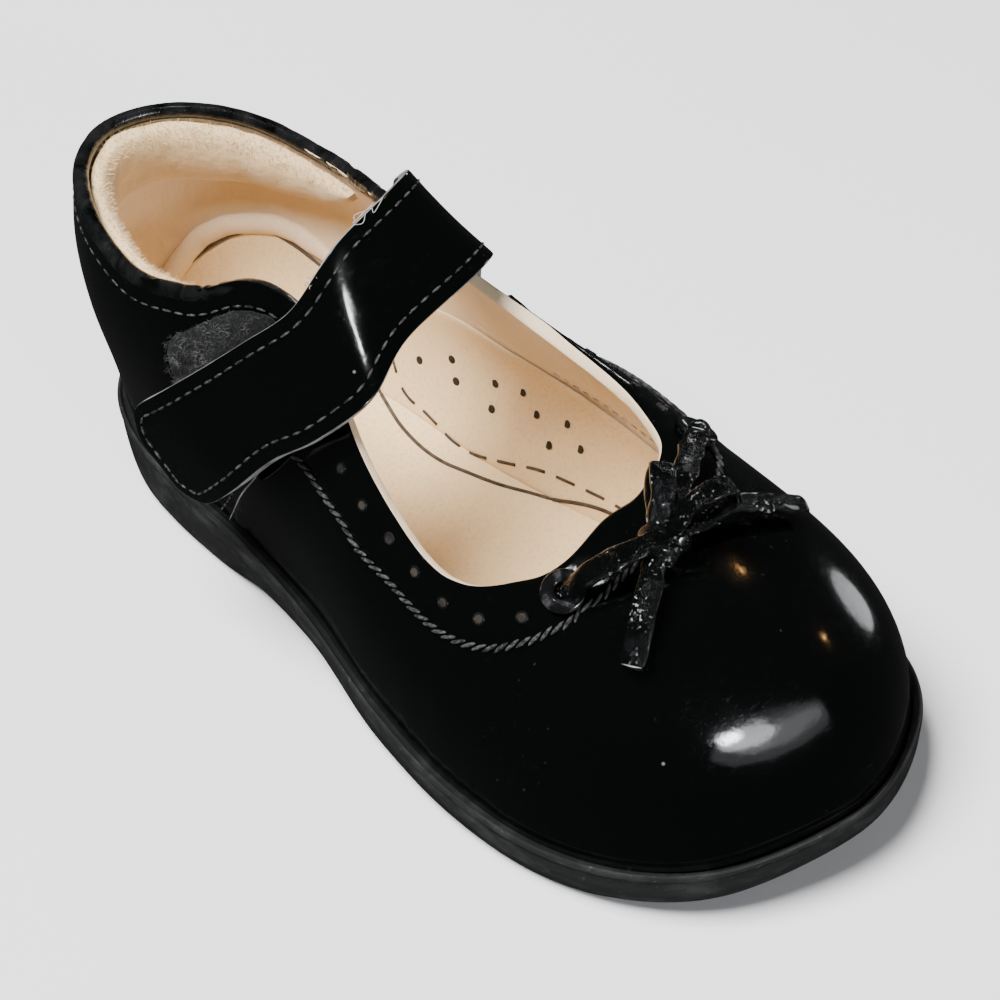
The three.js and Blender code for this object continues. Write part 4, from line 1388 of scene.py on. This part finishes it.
def make_world():
    """A faint white surround."""
    world = bpy.data.worlds.new("studio")
    bpy.context.scene.world = world
    world.use_nodes = True
    background = world.node_tree.nodes["Background"]
    background.inputs["Color"].default_value = (1, 1, 1, 1)
    background.inputs["Strength"].default_value = 0.025


def make_lights():
    """A broad fill, a small lamp for the strap alone, and panels that the toe and side reflect."""
    fill = area_light("fill", (-0.32, 0.2, 1), 1.3, (0.75, 0.75), 50)
    fill.visible_glossy = False
    strap_spot = (-0.0123, 0.0092, 0.0693)
    lamp = area_light("lamp", (0.13, -0.48, 0.87), 0.6, (0.022, 0.022), 0.17, target=strap_spot)
    lit = bpy.data.collections.new("lit_by_lamp")
    lit.objects.link(bpy.data.objects["strap_leather"])
    lamp.light_linking.receiver_collection = lit
    cool, pale, warm = (0.9, 0.95, 1), (0.95, 0.98, 1), (1, 0.55, 0.2)
    area_light("toe_core", (-0.31, -0.82, 0.48), 1.0, (0.13, 0.08), 1.7, cool)
    area_light("toe_middle", (-0.24, -0.85, 0.44), 1.02, (0.36, 0.18), 1.1, (0.93, 0.96, 1))
    area_light("toe_wide", (-0.05, -0.92, 0.38), 1.04, (0.66, 0.2), 0.4, (0.95, 0.97, 1))
    area_light("toe_veil", (-0.1, -0.93, 0.37), 1.06, (0.95, 0.42), 0.6, cool)
    area_light("window", (0.98, -0.2, 0.02), 0.9, (0.2, 0.3), 0.5, pale)
    area_light("overhead", (0.0, 0.1, 1), 1.0, (0.07, 0.07), 0.35, cool)
    area_light("side", (0.88, 0.45, 0.06), 0.9, (0.16, 0.06), 0.3, pale)
    area_light("warm_high", (0.59, -0.12, 0.8), 1.0, (0.03, 0.012), 0.08, warm)
    area_light("warm_low", (0.73, -0.51, 0.45), 1.0, (0.03, 0.01), 0.1, warm)


# ---- operators, panel and registration ------------------------------------------------------


class SHOE_OT_upper(bpy.types.Operator):
    """Make the leather shell with its lining and collar edge"""

    bl_idname = "shoe.upper"
    bl_label = "Upper"

    def execute(self, context):
        make_upper()
        make_bead()
        return {"FINISHED"}


class SHOE_OT_seams(bpy.types.Operator):
    """Lay the quarter edges, sewn rows, throat cord and punched holes"""

    bl_idname = "shoe.seams"
    bl_label = "Seams and Holes"

    def execute(self, context):
        make_seams()
        make_punches()
        return {"FINISHED"}


class SHOE_OT_strap(bpy.types.Operator):
    """Make the strap and its touch fastener"""

    bl_idname = "shoe.strap"
    bl_label = "Strap"

    def execute(self, context):
        make_strap()
        make_fastener()
        return {"FINISHED"}


class SHOE_OT_footbed(bpy.types.Operator):
    """Make the insole, its raised cup and its printed lines"""

    bl_idname = "shoe.footbed"
    bl_label = "Footbed"

    def execute(self, context):
        make_footbed()
        make_lining_seams()
        return {"FINISHED"}


class SHOE_OT_padding(bpy.types.Operator):
    """Make the padded roll inside the collar"""

    bl_idname = "shoe.padding"
    bl_label = "Collar Padding"

    def execute(self, context):
        make_padding()
        return {"FINISHED"}


class SHOE_OT_bow(bpy.types.Operator):
    """Make the eyelets and tie the bow"""

    bl_idname = "shoe.bow"
    bl_label = "Bow"

    def execute(self, context):
        make_eyelets()
        make_bow()
        return {"FINISHED"}


class SHOE_OT_sole(bpy.types.Operator):
    """Make the moulded rubber sole"""

    bl_idname = "shoe.sole"
    bl_label = "Sole"

    def execute(self, context):
        make_sole()
        return {"FINISHED"}


class SHOE_OT_lint(bpy.types.Operator):
    """Add the frayed threads"""

    bl_idname = "shoe.lint"
    bl_label = "Loose Threads"

    def execute(self, context):
        make_lint()
        return {"FINISHED"}


class SHOE_OT_stage(bpy.types.Operator):
    """Lay the pale floor and set the soft lights and the camera"""

    bl_idname = "shoe.stage"
    bl_label = "Stage"

    def execute(self, context):
        make_floor()
        make_world()
        make_lights()
        make_camera()
        return {"FINISHED"}


OPERATORS = (
    SHOE_OT_upper, SHOE_OT_seams, SHOE_OT_strap, SHOE_OT_footbed,
    SHOE_OT_padding, SHOE_OT_bow, SHOE_OT_sole, SHOE_OT_lint, SHOE_OT_stage,
)


class SHOE_PT_panel(bpy.types.Panel):
    """The shoe's sizes, colours and pieces"""

    bl_idname = "SHOE_PT_panel"
    bl_label = "Mary Jane Shoe"
    bl_space_type = "VIEW_3D"
    bl_region_type = "UI"
    bl_category = "Shoe"

    def draw(self, context):
        for group in (context.scene.shoe_sizes, context.scene.shoe_colours):
            box = self.layout.box()
            for key in group.__annotations__:
                box.prop(group, key)
        for operator in OPERATORS:
            self.layout.operator(operator.bl_idname)


CLASSES = (ShoeSizes, ShoeColours, *OPERATORS, SHOE_PT_panel)


def register():
    for item in CLASSES:
        bpy.utils.register_class(item)
    bpy.types.Scene.shoe_sizes = PointerProperty(type=ShoeSizes)
    bpy.types.Scene.shoe_colours = PointerProperty(type=ShoeColours)


def unregister():
    del bpy.types.Scene.shoe_colours
    del bpy.types.Scene.shoe_sizes
    for item in reversed(CLASSES):
        bpy.utils.unregister_class(item)


def main():
    register()
    for operator in OPERATORS:
        family, name = operator.bl_idname.split(".")
        getattr(getattr(bpy.ops, family), name)()


if __name__ == "__main__":
    main()
